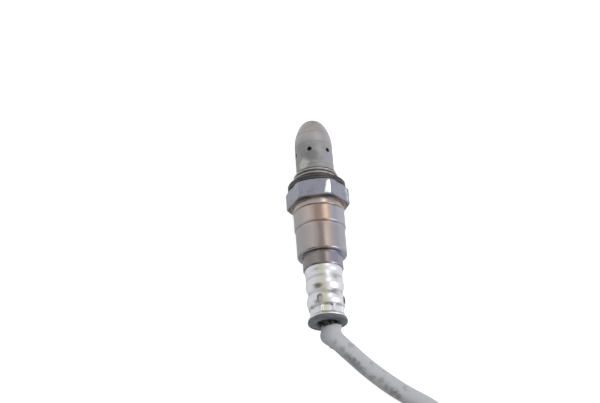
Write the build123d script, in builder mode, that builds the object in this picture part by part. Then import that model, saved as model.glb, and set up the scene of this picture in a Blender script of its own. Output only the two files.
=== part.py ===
from build123d import *
import os
from math import asin, cos, degrees, pi, radians, sin, tan

# Exhaust oxygen sensor: gas guard, threaded hexagon shell, rear casing, crimped cover and sleeved lead.
# Millimetres. The thread axis is Y with the tip at +Y, and +Z is up. The origin is on the axis, in the
# plane of the gasket's sealing face. The sensor lies on its gasket's rim and on one hexagon corner.

# Gas guards
outer_guard_radius = 7.6
outer_guard_wall = 0.5
outer_guard_length = 25.5
outer_guard_nose = 12.15
outer_guard_shoulder_radius = 18.0
outer_guard_foot_radius = 8.3
outer_guard_foot_thickness = 0.5
outer_hole_count = 6
outer_hole_radius = 0.95
outer_hole_height = 8.95
outer_hole_phase = 104.0
outer_tip_hole_radius = 1.1
inner_guard_radius = 5.0
inner_guard_wall = 0.4
inner_guard_length = 15.0
inner_guard_nose = 3.0
inner_guard_shoulder_radius = 2.0
inner_guard_foot_thickness = 0.4
inner_hole_count = 6
inner_hole_radius = 0.8
inner_low_hole_height = 1.9
inner_high_hole_height = 9.2
inner_tip_hole_radius = 1.2

# Threaded shell
thread_radius = 9.0
thread_length = 4.15
nose_chamfer = 0.6
relief_depth = 0.95
spigot_height = 2.6
hex_across_flats = 22.0
hex_height = 7.85
hex_chamfer_angle = 24.0
collar_radius = 10.2
collar_length = 2.55
edge_break = 0.15
shell_bore_radius = 6.3
shell_ledge_radius = 5.5
ledge_above_seat = 1.2
shell_lip_radius = 5.2
shell_lip_thickness = 1.2

# Seat gasket, folded from sheet
gasket_overhang = 2.58
gasket_thickness = 2.0
gasket_sheet = 0.5
gasket_rim_rounding = 0.3
gasket_clearance = 0.15
gasket_face_clearance = 0.1
gasket_coined_depth = 0.3

# Rear casing
casing_radius = 10.1
casing_wall = 0.47
casing_front_band = 7.0
casing_step = 0.38
casing_step_length = 0.55
casing_barrel = 11.3
casing_edge_radius = 0.8
neck_length = 5.45
casing_weld_depth = 0.15

# Crimped cover
cover_radius = 7.35
cover_wall = 0.5
cover_insertion = 3.2
cover_shoulder_drop = 0.35
cover_shoulder_length = 0.9
cover_length = 20.5
cover_plain_front = 1.0
cover_first_groove = 0.27
cover_first_groove_start = 3.0
cover_first_groove_end = 4.6
cover_second_bulge = 6.8
cover_middle_groove = 0.73
cover_middle_groove_place = 10.1
cover_third_bulge = 13.2
cover_crimp_depth = 1.43
cover_crimp_length = 2.7
cover_crimp_sides = 8
cover_crimp_phase = 21.0
cover_lip_radius = 7.45
cover_lip_length = 1.5
vent_count = 4
vent_radius = 0.8
vent_phase = 20.0
vent_from_lip = 7.2
filter_wall = 0.6
filter_length = 6.5

# Grommet
grommet_length = 12.8
grommet_flange_radius = 7.65
grommet_flange_thickness = 1.6
grommet_edge_radius = 0.4
grommet_recess_radius = 3.85
grommet_recess_depth = 2.4

# Ceramic element and the stack that holds it
element_width = 3.6
element_thickness = 1.6
element_tip_height = 20.0
element_length = 50.5
element_slot_clearance = 0.05
washer_thickness = 0.6
washer_bore_radius = 3.4
lower_insulator_length = 8.0
lower_insulator_neck_radius = 5.0
lower_insulator_neck_length = 3.0
talc_length = 4.2
sleeve_length = 4.4
crimp_ring_thickness = 1.0
crimp_ring_bore_radius = 4.2

# Contact holder, springs and leads inside the casing
holder_radius = 6.6
holder_gap = 2.3
holder_length = 13.0
holder_slot_half_width = 2.0
holder_slot_half_height = 2.2
holder_chamfer = 0.6
clip_sheet = 0.4
clip_length = 5.0
clip_setback = 2.5
clip_slot_count = 8
clip_slot_width = 1.4
spring_width = 1.2
spring_sheet = 0.3
spring_pad_setback = 3.6
spring_pad_length = 1.0
spring_bow_length = 5.6
spring_in_ferrule = 2.25
ferrule_radius = 1.05
ferrule_length = 6.0
lead_offset = 1.1
lead_radius = 0.85
conductor_radius = 0.65
conductor_length = 2.5

# Sleeved lead: the route's points are chosen by hand, the coil's turns are worked out from these sizes
cord_diameter = 6.8
cord_bend_share = 0.48
coil_center_x = 10.7
coil_center_y = -149.4
coil_outer_lane = 38.0
coil_lane_step = 7.0
coil_entry_length = 24.0
coil_turns = 1.917
tie_thickness = 0.8
tie_width = 4.6
tie_angle = 180.0
band_length = 7.5
band_wall = 0.5
core_radius = 0.95
core_offset = 1.15
core_leave = 3.6
core_arrive = 3.0
core_in_seal = 1.0

# Connector at the lead's far end
plug_rear_x = 9.0
plug_length = 33.0
plug_width = 19.0
plug_height = 14.0
plug_corner_radius = 2.6
plug_wall = 1.5
plug_mouth_depth = 16.0
plug_rear_length = 13.0
plug_rear_inset = 1.2
plug_pitch_y = 6.0
plug_pitch_z = 5.0
blade_width = 1.2
blade_thickness = 0.7
blade_length = 9.0
barrel_size = 2.0
cavity_size = 2.2
rear_seal_length = 5.0
rear_seal_wall = 1.4
rear_seal_setback = 1.0
rear_seal_rib = 0.25
rear_seal_rib_count = 3
lock_width = 11.6
lock_thickness = 2.3
lock_setback = 2.0
lock_head = 0.8
lock_clearance = 0.3
latch_width = 6.0
latch_length = 4.0
latch_height = 1.5
latch_setback = 3.0
guide_rib_width = 1.4
guide_rib_length = 14.0
guide_rib_height = 1.2

# Stations along the axis, each from the one before
seat_y = 0.0
thread_end_y = seat_y + thread_length + nose_chamfer
guard_foot_top_y = thread_end_y + outer_guard_foot_thickness
guard_tip_y = thread_end_y + outer_guard_length
outer_straight_y = guard_tip_y - outer_guard_nose
spigot_top_y = thread_end_y + spigot_height
inner_guard_tip_y = spigot_top_y + inner_guard_length
inner_straight_y = inner_guard_tip_y - inner_guard_nose
gasket_back_y = seat_y - gasket_thickness
hex_back_y = gasket_back_y - hex_height
collar_back_y = hex_back_y - collar_length
seam_y = collar_back_y - casing_front_band
shoulder_y = seam_y - casing_step_length - casing_barrel
neck_back_y = shoulder_y - neck_length
cover_front_y = neck_back_y + cover_insertion
cover_back_y = neck_back_y - cover_length
crimp_back_y = cover_back_y + cover_lip_length
crimp_front_y = crimp_back_y + cover_crimp_length
vent_y = cover_back_y + vent_from_lip
grommet_back_y = cover_back_y - grommet_flange_thickness
grommet_front_y = cover_back_y + grommet_length
recess_y = grommet_back_y + grommet_recess_depth
ledge_y = seat_y + ledge_above_seat
washer_back_y = ledge_y - washer_thickness
insulator_back_y = washer_back_y - lower_insulator_length
talc_back_y = insulator_back_y - talc_length
sleeve_back_y = talc_back_y - sleeve_length
crimp_ring_back_y = sleeve_back_y - crimp_ring_thickness
shell_back_y = crimp_ring_back_y - shell_lip_thickness
holder_front_y = shell_back_y - holder_gap
holder_back_y = holder_front_y - holder_length
clip_front_y = holder_front_y - clip_setback
pad_front_y = holder_front_y - spring_pad_setback
spring_tail_y = pad_front_y - spring_pad_length - spring_bow_length
ferrule_front_y = holder_back_y - 0.5 * spring_sheet
ferrule_back_y = ferrule_front_y - ferrule_length

# Radii that fit one another
spigot_radius = outer_guard_radius - outer_guard_wall
relief_radius = thread_radius - relief_depth
gasket_radius = thread_radius + gasket_overhang
gasket_face_radius = thread_radius + gasket_face_clearance
skirt_radius = casing_radius - casing_wall
barrel_radius = casing_radius - casing_step
barrel_bore = barrel_radius - casing_wall
neck_radius = cover_radius + casing_wall
crimp_radius = cover_radius - cover_crimp_depth
crimp_bore = crimp_radius - cover_wall
filter_radius = crimp_bore + filter_wall
lip_bore = cover_lip_radius - cover_wall
hex_corner_radius = hex_across_flats / 2 / cos(pi / 6)
hex_corner_drop = (hex_corner_radius - hex_across_flats / 2) * tan(radians(hex_chamfer_angle))
floor_z = -gasket_radius
# The hexagon is turned so that one corner comes down as low as the gasket's rim
hex_phase = degrees(asin(min(1.0, gasket_radius / hex_corner_radius))) - 60

# Heights along the cord
cord_radius = cord_diameter / 2
cord_z = floor_z + cord_radius
coil_top_z = floor_z + cord_diameter
coil_inner_lane = coil_outer_lane - coil_lane_step
coil_entry_x = coil_center_x + coil_outer_lane
plug_y = coil_center_y - coil_outer_lane
plug_z = coil_top_z + plug_height / 2
plug_front_x = plug_rear_x - plug_length
partition_x = plug_front_x + plug_mouth_depth
rear_seal_x = plug_rear_x - rear_seal_setback - rear_seal_length


def across(y):
    """Plane square to the sensor's axis at height y, with X to the right and Z up."""
    return Plane.XZ.offset(-y)


def rounded_outline(radius, foot, straight, shoulder_radius, tip):
    """Half outline of a bullet: a straight side, a shoulder arc and a nose arc, tangent to each other."""
    shoulder_x = radius - shoulder_radius
    rise = tip - straight
    nose_rise = ((rise - shoulder_radius)**2 - shoulder_x**2) / (2 * (rise - shoulder_radius))
    share = shoulder_radius / (shoulder_radius - (rise - nose_rise))
    meet = (shoulder_x * (1 - share), straight + nose_rise * share)
    Line((0, foot), (radius, foot))
    Line((radius, foot), (radius, straight))
    shoulder = TangentArc((radius, straight), meet, tangent=(0, 1))
    TangentArc(meet, (0, tip), tangent=shoulder % 1)
    Line((0, tip), (0, foot))


def ring_of_rays(count, phase):
    """Angles of equal steps round the axis."""
    return [phase + 360 * step / count for step in range(count)]


def radial_plane(angle, y):
    """Plane on the axis at height y that looks outwards along the given angle from X towards Z."""
    return Plane(origin=(0, y, 0), x_dir=(0, 1, 0), z_dir=(cos(radians(angle)), 0, sin(radians(angle))))


# Outer guard: a drawn cup with a foot ring, six gas holes and one hole in the tip
with BuildPart() as outer_guard:
    with BuildSketch(Plane.XY):
        with BuildLine():
            rounded_outline(outer_guard_radius, thread_end_y, outer_straight_y,
                            outer_guard_shoulder_radius, guard_tip_y)
        make_face()
        with Locations((outer_guard_foot_radius / 2, thread_end_y)):
            Rectangle(outer_guard_foot_radius, outer_guard_foot_thickness, align=(Align.CENTER, Align.MIN))
    revolve(axis=Axis.Y)
    with BuildSketch(Plane.XY):
        with BuildLine():
            rounded_outline(spigot_radius, thread_end_y, outer_straight_y,
                            outer_guard_shoulder_radius - outer_guard_wall, guard_tip_y - outer_guard_wall)
        make_face()
    revolve(axis=Axis.Y, mode=Mode.SUBTRACT)
    for angle in ring_of_rays(outer_hole_count, outer_hole_phase):
        with BuildSketch(radial_plane(angle, thread_end_y + outer_hole_height)):
            Circle(outer_hole_radius)
        extrude(amount=outer_guard_foot_radius, mode=Mode.SUBTRACT)
    with BuildSketch(across(guard_tip_y)):
        Circle(outer_tip_hole_radius)
    extrude(amount=4 * outer_guard_wall, mode=Mode.SUBTRACT)
outer_guard.part.label = "outer_guard"

# Inner guard: a smaller cup whose foot stands on the shell's spigot
with BuildPart() as inner_guard:
    with BuildSketch(Plane.XY):
        with BuildLine():
            rounded_outline(inner_guard_radius, spigot_top_y, inner_straight_y,
                            inner_guard_shoulder_radius, inner_guard_tip_y)
        make_face()
        with Locations((spigot_radius / 2, spigot_top_y)):
            Rectangle(spigot_radius, inner_guard_foot_thickness, align=(Align.CENTER, Align.MIN))
    revolve(axis=Axis.Y)
    with BuildSketch(Plane.XY):
        with BuildLine():
            rounded_outline(inner_guard_radius - inner_guard_wall, spigot_top_y, inner_straight_y,
                            inner_guard_shoulder_radius - inner_guard_wall,
                            inner_guard_tip_y - inner_guard_wall)
        make_face()
    revolve(axis=Axis.Y, mode=Mode.SUBTRACT)
    for height in (inner_low_hole_height, inner_high_hole_height):
        for angle in ring_of_rays(inner_hole_count, outer_hole_phase + 180 / inner_hole_count):
            with BuildSketch(radial_plane(angle, spigot_top_y + height)):
                Circle(inner_hole_radius)
            extrude(amount=inner_guard_radius + inner_guard_wall, mode=Mode.SUBTRACT)
    with BuildSketch(across(inner_guard_tip_y)):
        Circle(inner_tip_hole_radius)
    extrude(amount=4 * inner_guard_wall, mode=Mode.SUBTRACT)
inner_guard.part.label = "inner_guard"

# Shell: spigot, thread, relief under the gasket, hexagon, collar, skirt and its stepped bore
with BuildPart() as shell:
    with BuildSketch(across(gasket_back_y)):
        RegularPolygon(hex_across_flats / 2, 6, major_radius=False, rotation=hex_phase)
    extrude(amount=hex_height)
    with BuildSketch(Plane.XY):
        with BuildLine():
            Polyline((0, gasket_back_y), (hex_across_flats / 2, gasket_back_y),
                     (hex_corner_radius, gasket_back_y - hex_corner_drop),
                     (hex_corner_radius, hex_back_y + hex_corner_drop),
                     (hex_across_flats / 2, hex_back_y), (0, hex_back_y), close=True)
        make_face()
    revolve(axis=Axis.Y, mode=Mode.INTERSECT)
    with BuildSketch(Plane.XY):
        with BuildLine():
            Polyline((0, spigot_top_y), (spigot_radius, spigot_top_y), (spigot_radius, thread_end_y),
                     (thread_radius - nose_chamfer, thread_end_y),
                     (thread_radius, thread_end_y - nose_chamfer), (thread_radius, seat_y),
                     (relief_radius, seat_y), (relief_radius, gasket_back_y),
                     (collar_radius, gasket_back_y), (collar_radius, collar_back_y + edge_break),
                     (collar_radius - edge_break, collar_back_y), (skirt_radius, collar_back_y),
                     (skirt_radius, shell_back_y), (0, shell_back_y), close=True)
        make_face()
    revolve(axis=Axis.Y)
    with BuildSketch(Plane.XY):
        with BuildLine():
            Polyline((0, spigot_top_y), (shell_ledge_radius, spigot_top_y), (shell_ledge_radius, ledge_y),
                     (shell_bore_radius, ledge_y), (shell_bore_radius, crimp_ring_back_y),
                     (shell_lip_radius, crimp_ring_back_y), (shell_lip_radius, shell_back_y),
                     (0, shell_back_y), close=True)
        make_face()
    revolve(axis=Axis.Y, mode=Mode.SUBTRACT)
shell.part.label = "shell"

# Seat gasket: sheet folded into a flat ring, open on its inner side and coined under the thread
with BuildPart() as seat_gasket:
    with BuildSketch(Plane.XY):
        with Locations(((gasket_radius + relief_radius + gasket_clearance) / 2, seat_y)):
            Rectangle(gasket_radius - relief_radius - gasket_clearance, gasket_thickness,
                      align=(Align.CENTER, Align.MAX))
        fillet(vertices().group_by(Axis.X)[-1], gasket_rim_rounding)
        with Locations((relief_radius + gasket_clearance, seat_y - gasket_thickness / 2)):
            Rectangle(gasket_radius - relief_radius - gasket_clearance - gasket_sheet,
                      gasket_thickness - 2 * gasket_sheet, align=(Align.MIN, Align.CENTER),
                      mode=Mode.SUBTRACT)
        with BuildLine():
            Polyline((relief_radius, seat_y), (gasket_face_radius, seat_y),
                     (relief_radius, seat_y - gasket_coined_depth), close=True)
        make_face(mode=Mode.SUBTRACT)
    revolve(axis=Axis.Y)
seat_gasket.part.label = "seat_gasket"

# Rear casing: drawn tube, pressed over the shell's skirt and stepped down to the neck
with BuildPart() as rear_casing:
    with BuildSketch(Plane.XY):
        with BuildLine():
            Polyline((skirt_radius, collar_back_y), (casing_radius - edge_break, collar_back_y),
                     (casing_radius, collar_back_y - edge_break), (casing_radius, seam_y),
                     (barrel_radius, seam_y - casing_step_length), (barrel_radius, shoulder_y),
                     (neck_radius, shoulder_y), (neck_radius, neck_back_y), (cover_radius, neck_back_y),
                     (cover_radius, shoulder_y + casing_wall), (barrel_bore, shoulder_y + casing_wall),
                     (barrel_bore, seam_y - casing_step_length + casing_wall),
                     (skirt_radius, seam_y + casing_wall), close=True)
        make_face()
        shoulder_corner = vertices().sort_by_distance((barrel_radius, shoulder_y))[0]
        fillet(shoulder_corner, casing_edge_radius)
    revolve(axis=Axis.Y)
    with BuildSketch(Plane.XY):
        with Locations((casing_radius, seam_y + edge_break)):
            Rectangle(2 * casing_weld_depth, 2 * edge_break)
    revolve(axis=Axis.Y, mode=Mode.SUBTRACT)
rear_casing.part.label = "rear_casing"

# Crimped cover: two rolled grooves, a ring of vents and an eight-sided crimp above a flared lip
outline_stations = [
    (neck_back_y - cover_plain_front, 0.0),
    (neck_back_y - cover_first_groove_start, cover_first_groove),
    (neck_back_y - cover_first_groove_end, cover_first_groove),
    (neck_back_y - cover_second_bulge, 0.0),
    (neck_back_y - cover_middle_groove_place, cover_middle_groove),
    (neck_back_y - cover_third_bulge, 0.0),
    (crimp_front_y + cover_shoulder_length, cover_shoulder_drop),
]
with BuildPart() as filter_cover:
    with BuildSketch(Plane.XY):
        with BuildLine():
            outer_wave = Spline([(cover_radius - depth, y) for y, depth in outline_stations],
                                tangents=[(0, -1), (-0.5, -1)])
            crimp_corner = crimp_radius / cos(pi / cover_crimp_sides)
            Polyline(outer_wave @ 1, (crimp_corner, crimp_front_y), (crimp_corner, crimp_back_y),
                     (cover_lip_radius, cover_back_y + edge_break), (cover_lip_radius, cover_back_y),
                     (lip_bore, cover_back_y), (crimp_bore, crimp_back_y), (crimp_bore, crimp_front_y))
            inner_wave = Spline([(cover_radius - cover_wall - depth, y) for y, depth in outline_stations],
                                tangents=[(0, -1), (-0.5, -1)])
            Line((crimp_bore, crimp_front_y), inner_wave @ 1)
            Polyline(inner_wave @ 0, (cover_radius - cover_wall, cover_front_y),
                     (cover_radius, cover_front_y), outer_wave @ 0)
        make_face()
    revolve(axis=Axis.Y)
    with BuildSketch(across(crimp_front_y)):
        Circle(cover_lip_radius)
        RegularPolygon(crimp_radius, cover_crimp_sides, major_radius=False, rotation=cover_crimp_phase,
                       mode=Mode.SUBTRACT)
    extrude(amount=cover_crimp_length, mode=Mode.SUBTRACT)
    for angle in ring_of_rays(vent_count, vent_phase):
        with BuildSketch(radial_plane(angle, vent_y)):
            Circle(vent_radius)
        extrude(amount=cover_lip_radius + cover_wall, mode=Mode.SUBTRACT)
filter_cover.part.label = "filter_cover"

# Vent filter: porous sleeve on the grommet, behind the vents
with BuildPart() as vent_filter:
    with BuildSketch(across(crimp_front_y + cover_wall + filter_length)):
        Circle(filter_radius)
        Circle(crimp_bore, mode=Mode.SUBTRACT)
    extrude(amount=filter_length)
vent_filter.part.label = "vent_filter"

# Grommet: rubber plug with a flange, four lead holes and a recess for the sleeve
with BuildPart() as grommet:
    with BuildSketch(Plane.XY):
        with BuildLine():
            Polyline((0, grommet_front_y), (crimp_bore, grommet_front_y), (crimp_bore, crimp_back_y),
                     (lip_bore, cover_back_y), (grommet_flange_radius, cover_back_y),
                     (grommet_flange_radius, grommet_back_y), (grommet_recess_radius, grommet_back_y),
                     (grommet_recess_radius, recess_y), (0, recess_y), close=True)
        make_face()
        fillet(vertices().group_by(Axis.X)[-1], grommet_edge_radius)
    revolve(axis=Axis.Y)
    with BuildSketch(across(grommet_front_y)):
        with GridLocations(2 * lead_offset, 2 * lead_offset, 2, 2):
            Circle(lead_radius)
    extrude(amount=grommet_front_y - recess_y, mode=Mode.SUBTRACT)
grommet.part.label = "grommet"

# Sensing element: a flat ceramic bar with broken tip edges
with BuildPart() as sensing_element:
    with BuildSketch(across(element_tip_height)):
        Rectangle(element_width, element_thickness)
    extrude(amount=element_length)
    chamfer(sensing_element.edges().group_by(Axis.Y)[-1], edge_break)
sensing_element.part.label = "sensing_element"


def bar_slot(front_y):
    """Outline of the element's slot, square to the axis at front_y."""
    with BuildSketch(across(front_y)) as slot:
        Rectangle(element_width + 2 * element_slot_clearance, element_thickness + 2 * element_slot_clearance)
    return slot.sketch


# Packing washer on the shell's ledge
with BuildPart() as packing_washer:
    with BuildSketch(across(ledge_y)):
        Circle(shell_bore_radius)
        Circle(washer_bore_radius, mode=Mode.SUBTRACT)
    extrude(amount=washer_thickness)
packing_washer.part.label = "packing_washer"

# Lower insulator: the ceramic holder that carries the element, with a narrower front neck
with BuildPart() as lower_insulator:
    with BuildSketch(across(washer_back_y)):
        Circle(shell_bore_radius)
    extrude(amount=lower_insulator_length)
    with BuildSketch(across(washer_back_y)):
        Circle(washer_bore_radius)
    extrude(amount=-lower_insulator_neck_length)
    extrude(bar_slot(washer_back_y + lower_insulator_neck_length),
            amount=lower_insulator_length + lower_insulator_neck_length, mode=Mode.SUBTRACT)
lower_insulator.part.label = "lower_insulator"

# Talc ring, pressed round the element as the gas seal
with BuildPart() as talc_ring:
    with BuildSketch(across(insulator_back_y)):
        Circle(shell_bore_radius)
        Rectangle(element_width, element_thickness, mode=Mode.SUBTRACT)
    extrude(amount=talc_length)
talc_ring.part.label = "talc_ring"

# Ceramic sleeve behind the talc
with BuildPart() as ceramic_sleeve:
    with BuildSketch(across(talc_back_y)):
        Circle(shell_bore_radius)
    extrude(amount=sleeve_length)
    extrude(bar_slot(talc_back_y), amount=sleeve_length, mode=Mode.SUBTRACT)
ceramic_sleeve.part.label = "ceramic_sleeve"

# Crimp ring under the shell's turned-in lip
with BuildPart() as crimp_ring:
    with BuildSketch(across(sleeve_back_y)):
        Circle(shell_bore_radius)
        Circle(crimp_ring_bore_radius, mode=Mode.SUBTRACT)
    extrude(amount=crimp_ring_thickness)
crimp_ring.part.label = "crimp_ring"

# Contact holder: ceramic cylinder with a window for the element and its springs
with BuildPart() as contact_holder:
    with BuildSketch(across(holder_front_y)):
        Circle(holder_radius)
    extrude(amount=holder_length)
    chamfer(contact_holder.edges().group_by(Axis.Y)[0], holder_chamfer)
    chamfer(contact_holder.edges().group_by(Axis.Y)[-1], holder_chamfer)
    with BuildSketch(across(holder_front_y)):
        Rectangle(2 * holder_slot_half_width, 2 * holder_slot_half_height)
    extrude(amount=holder_length, mode=Mode.SUBTRACT)
contact_holder.part.label = "contact_holder"

# Holder clip: sheet ring round the holder whose fingers press on the casing's bore
with BuildPart() as holder_clip:
    with BuildSketch(Plane.XY):
        with BuildLine():
            Polyline((holder_radius, clip_front_y), (barrel_bore, clip_front_y),
                     (barrel_bore, clip_front_y - clip_sheet),
                     (holder_radius + clip_sheet, clip_front_y - clip_sheet),
                     (holder_radius + clip_sheet, clip_front_y - clip_length),
                     (holder_radius, clip_front_y - clip_length), close=True)
        make_face()
    revolve(axis=Axis.Y)
    for angle in ring_of_rays(clip_slot_count, 0):
        with BuildSketch(radial_plane(angle, clip_front_y).offset(holder_radius + 2 * clip_sheet)):
            Rectangle(3 * clip_sheet, clip_slot_width)
        extrude(amount=barrel_bore, mode=Mode.SUBTRACT)
holder_clip.part.label = "holder_clip"

# Contact springs: four bowed leaves between the element's pads and the holder's window
spring_low = element_thickness / 2
spring_high = holder_slot_half_height - spring_sheet
spring_rest = lead_offset - spring_sheet / 2
pad_back_y = pad_front_y - spring_pad_length
bow_y = pad_back_y - spring_bow_length / 2
spring_line = [
    (ferrule_front_y - spring_in_ferrule, spring_rest),
    (spring_tail_y, spring_rest),
    (bow_y, spring_high),
    (pad_back_y, spring_low),
    (pad_front_y, spring_low),
    (pad_front_y + spring_pad_length, spring_low + spring_sheet),
]
with BuildPart() as contact_springs:
    for side in (-1, 1):
        with BuildSketch(Plane.YZ.offset(side * lead_offset - spring_width / 2)):
            with BuildLine():
                upper = [(y, z + spring_sheet) for y, z in reversed(spring_line)]
                Polyline(*spring_line, *upper, close=True)
            make_face()
            mirror(about=Plane.XZ)
        extrude(amount=spring_width)
contact_springs.part.label = "contact_springs"

# Crimp ferrules join the springs' tails to the leads
with BuildPart() as crimp_ferrules:
    with BuildSketch(across(ferrule_front_y)):
        with GridLocations(2 * lead_offset, 2 * lead_offset, 2, 2):
            Circle(ferrule_radius)
            Circle(conductor_radius, mode=Mode.SUBTRACT)
    extrude(amount=ferrule_length)
crimp_ferrules.part.label = "crimp_ferrules"

# Inner leads run from the ferrules through the grommet to the sleeve
with BuildPart() as inner_leads:
    with BuildSketch(across(ferrule_back_y)):
        with GridLocations(2 * lead_offset, 2 * lead_offset, 2, 2):
            Circle(lead_radius)
    extrude(amount=ferrule_back_y - recess_y)
    with BuildSketch(across(ferrule_back_y)):
        with GridLocations(2 * lead_offset, 2 * lead_offset, 2, 2):
            Circle(conductor_radius)
    extrude(amount=-conductor_length)
inner_leads.part.label = "inner_leads"

# Lead route. Points of the seen run, from the grommet's recess to the coil, chosen by hand
run_route = [
    (0.0, recess_y, 0.0),
    (0.0, -60.6, 0.0),
    (2.0, -64.5, -0.9),
    (6.7, -68.6, -2.9),
    (13.8, -75.2, -6.3),
    (25.4, -84.7, cord_z),
    (37.3, -92.0, cord_z),
    (44.75, -101.2, cord_z),
    (coil_entry_x, -112.4, cord_z),
    (coil_entry_x, coil_center_y + coil_entry_length, cord_z),
]

# Tail route on top of the coil, as angle round the coil, distance from its middle and height
tail_stations = [
    (30.0, 31.0, 0.0),
    (14.0, 31.3, 1.0),
    (-3.0, 32.4, 3.6),
    (-20.0, 33.8, 6.0),
    (-37.0, 34.9, 7.0),
    (-54.0, 35.6, 7.3),
    (-74.0, 37.6, 8.6),
]
tail_route = [(coil_center_x + reach * cos(radians(angle)), coil_center_y + reach * sin(radians(angle)),
               cord_z + lift) for angle, reach, lift in tail_stations]


def bend_radii(route):
    """As large an arc at each corner of a route as its two runs allow."""
    points = [Vector(*point) for point in route]
    radii = []
    for before, corner, after in zip(points, points[1:], points[2:]):
        turn = radians((corner - before).get_angle(after - corner))
        shorter = min((corner - before).length, (after - corner).length)
        radii.append(cord_bend_share * shorter / tan(turn / 2))
    return radii


def report_tube(name, tube, path_length):
    """Prints how a tube's volume compares with its section times its length."""
    expected = pi * cord_radius**2 * path_length
    print(f"{name}: path {path_length:.1f} mm, volume {tube.volume:.1f}, section by length {expected:.1f}")


for name, route in (("run", run_route), ("tail", tail_route)):
    print(name, "radii", [round(radius, 1) for radius in bend_radii(route)])
    points = [Vector(*point) for point in route]
    print(name, "runs", [round((b - a).length, 1) for a, b in zip(points, points[1:])])

# Coil: the outer shape of two turns side by side with the straight stretch that comes in
with BuildPart() as coil_ring:
    with BuildSketch(Plane.XY.offset(floor_z)):
        with Locations((coil_center_x, coil_center_y)):
            Circle(coil_outer_lane + cord_radius)
            Circle(coil_inner_lane - cord_radius, mode=Mode.SUBTRACT)
        with Locations((coil_entry_x, coil_center_y)):
            Rectangle(cord_diameter, coil_entry_length, align=(Align.CENTER, Align.MIN))
    extrude(amount=cord_diameter)

# Tie: a strap round both turns, flush with the surface underneath
tie_plane = Plane(origin=(coil_center_x, coil_center_y, floor_z),
                  x_dir=(cos(radians(tie_angle)), sin(radians(tie_angle)), 0), z_dir=(0, 0, 1))
with BuildPart() as lead_tie:
    with BuildSketch(tie_plane):
        with Locations((coil_inner_lane - cord_radius - tie_thickness, 0)):
            Rectangle(coil_lane_step + cord_diameter + 2 * tie_thickness, tie_width,
                      align=(Align.MIN, Align.CENTER))
    extrude(amount=cord_diameter + tie_thickness)
    with BuildSketch(tie_plane.offset(tie_thickness)):
        Circle(coil_outer_lane + cord_radius)
        Circle(coil_inner_lane - cord_radius, mode=Mode.SUBTRACT)
    extrude(amount=cord_diameter - tie_thickness, mode=Mode.SUBTRACT)
lead_tie.part.label = "lead_tie"

with BuildPart() as lead_coil:
    add(coil_ring)
    add(lead_tie, mode=Mode.SUBTRACT)
lead_coil.part.label = "lead_coil"

# Run: the tube that leaves the grommet and comes to the coil
with BuildPart() as lead_run:
    with BuildLine():
        run_path = FilletPolyline(*run_route, radius=bend_radii(run_route))
    with BuildSketch(across(recess_y)):
        Circle(cord_radius)
    sweep(path=run_path)
    report_tube("run", lead_run.part, run_path.length)
lead_run.part.label = "lead_run"

# Tail: the tube that rises out of the coil and lies on it
with BuildPart() as lead_tail:
    with BuildLine():
        tail_path = FilletPolyline(*tail_route, radius=bend_radii(tail_route))
    with BuildSketch(Plane(origin=tail_path @ 0, z_dir=tail_path % 0)):
        Circle(cord_radius)
    sweep(path=tail_path)
    report_tube("tail", lead_tail.part, tail_path.length)
    split(bisect_by=Plane.XY.offset(coil_top_z), keep=Keep.TOP)
lead_tail.part.label = "lead_tail"
turn_length = pi * (coil_outer_lane + coil_inner_lane) * coil_turns
total_length = run_path.length + coil_entry_length + turn_length + tail_path.length
print(f"lead in all {total_length:.0f} mm, of which turns {turn_length:.0f}")

# Shrunk band that keeps the sleeve's end together
tail_end = tail_path @ 1
tail_heading = tail_path % 1
with BuildPart() as sleeve_band:
    with BuildSketch(Plane(origin=tail_end, z_dir=-tail_heading)):
        Circle(cord_radius + band_wall)
        Circle(cord_radius, mode=Mode.SUBTRACT)
    extrude(amount=band_length)
sleeve_band.part.label = "sleeve_band"

# Connector leads: four cores from the sleeve's end to the terminals
core_start = Plane(origin=tail_end, z_dir=tail_heading, x_dir=Vector(0, 0, 1).cross(tail_heading))
with BuildPart() as connector_leads:
    for side in (-1, 1):
        for level in (-1, 1):
            start = core_start.from_local_coords(Vector(side * core_offset, level * core_offset, 0))
            stop = Vector(rear_seal_x - core_in_seal, plug_y - side * plug_pitch_y / 2, plug_z + level * plug_pitch_z / 2)
            leave = start + tail_heading * core_leave
            arrive = Vector(plug_rear_x + core_arrive, stop.Y, stop.Z)
            core_route = [tuple(start), tuple(leave), tuple(arrive), tuple(stop)]
            with BuildLine():
                core_path = FilletPolyline(*core_route, radius=bend_radii(core_route))
            with BuildSketch(Plane(origin=start, z_dir=tail_heading)):
                Circle(core_radius)
            sweep(path=core_path)
connector_leads.part.label = "connector_leads"


def plug_section(x, width, height, corner):
    """Rounded rectangle square to the connector's axis at x, drawn with Y to the right and Z up."""
    with BuildSketch(Plane(origin=(x, plug_y, plug_z), x_dir=(0, 1, 0), z_dir=(1, 0, 0))) as section:
        RectangleRounded(width, height, corner)
    return section.sketch


terminal_grid = GridLocations(plug_pitch_y, plug_pitch_z, 2, 2)
seal_width = plug_width - 2 * plug_rear_inset - 2 * rear_seal_wall
seal_height = plug_height - 2 * plug_rear_inset - 2 * rear_seal_wall
lock_x = partition_x + lock_setback
lock_bottom_z = plug_z + plug_pitch_z / 2 + barrel_size / 2 + lock_clearance

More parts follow.
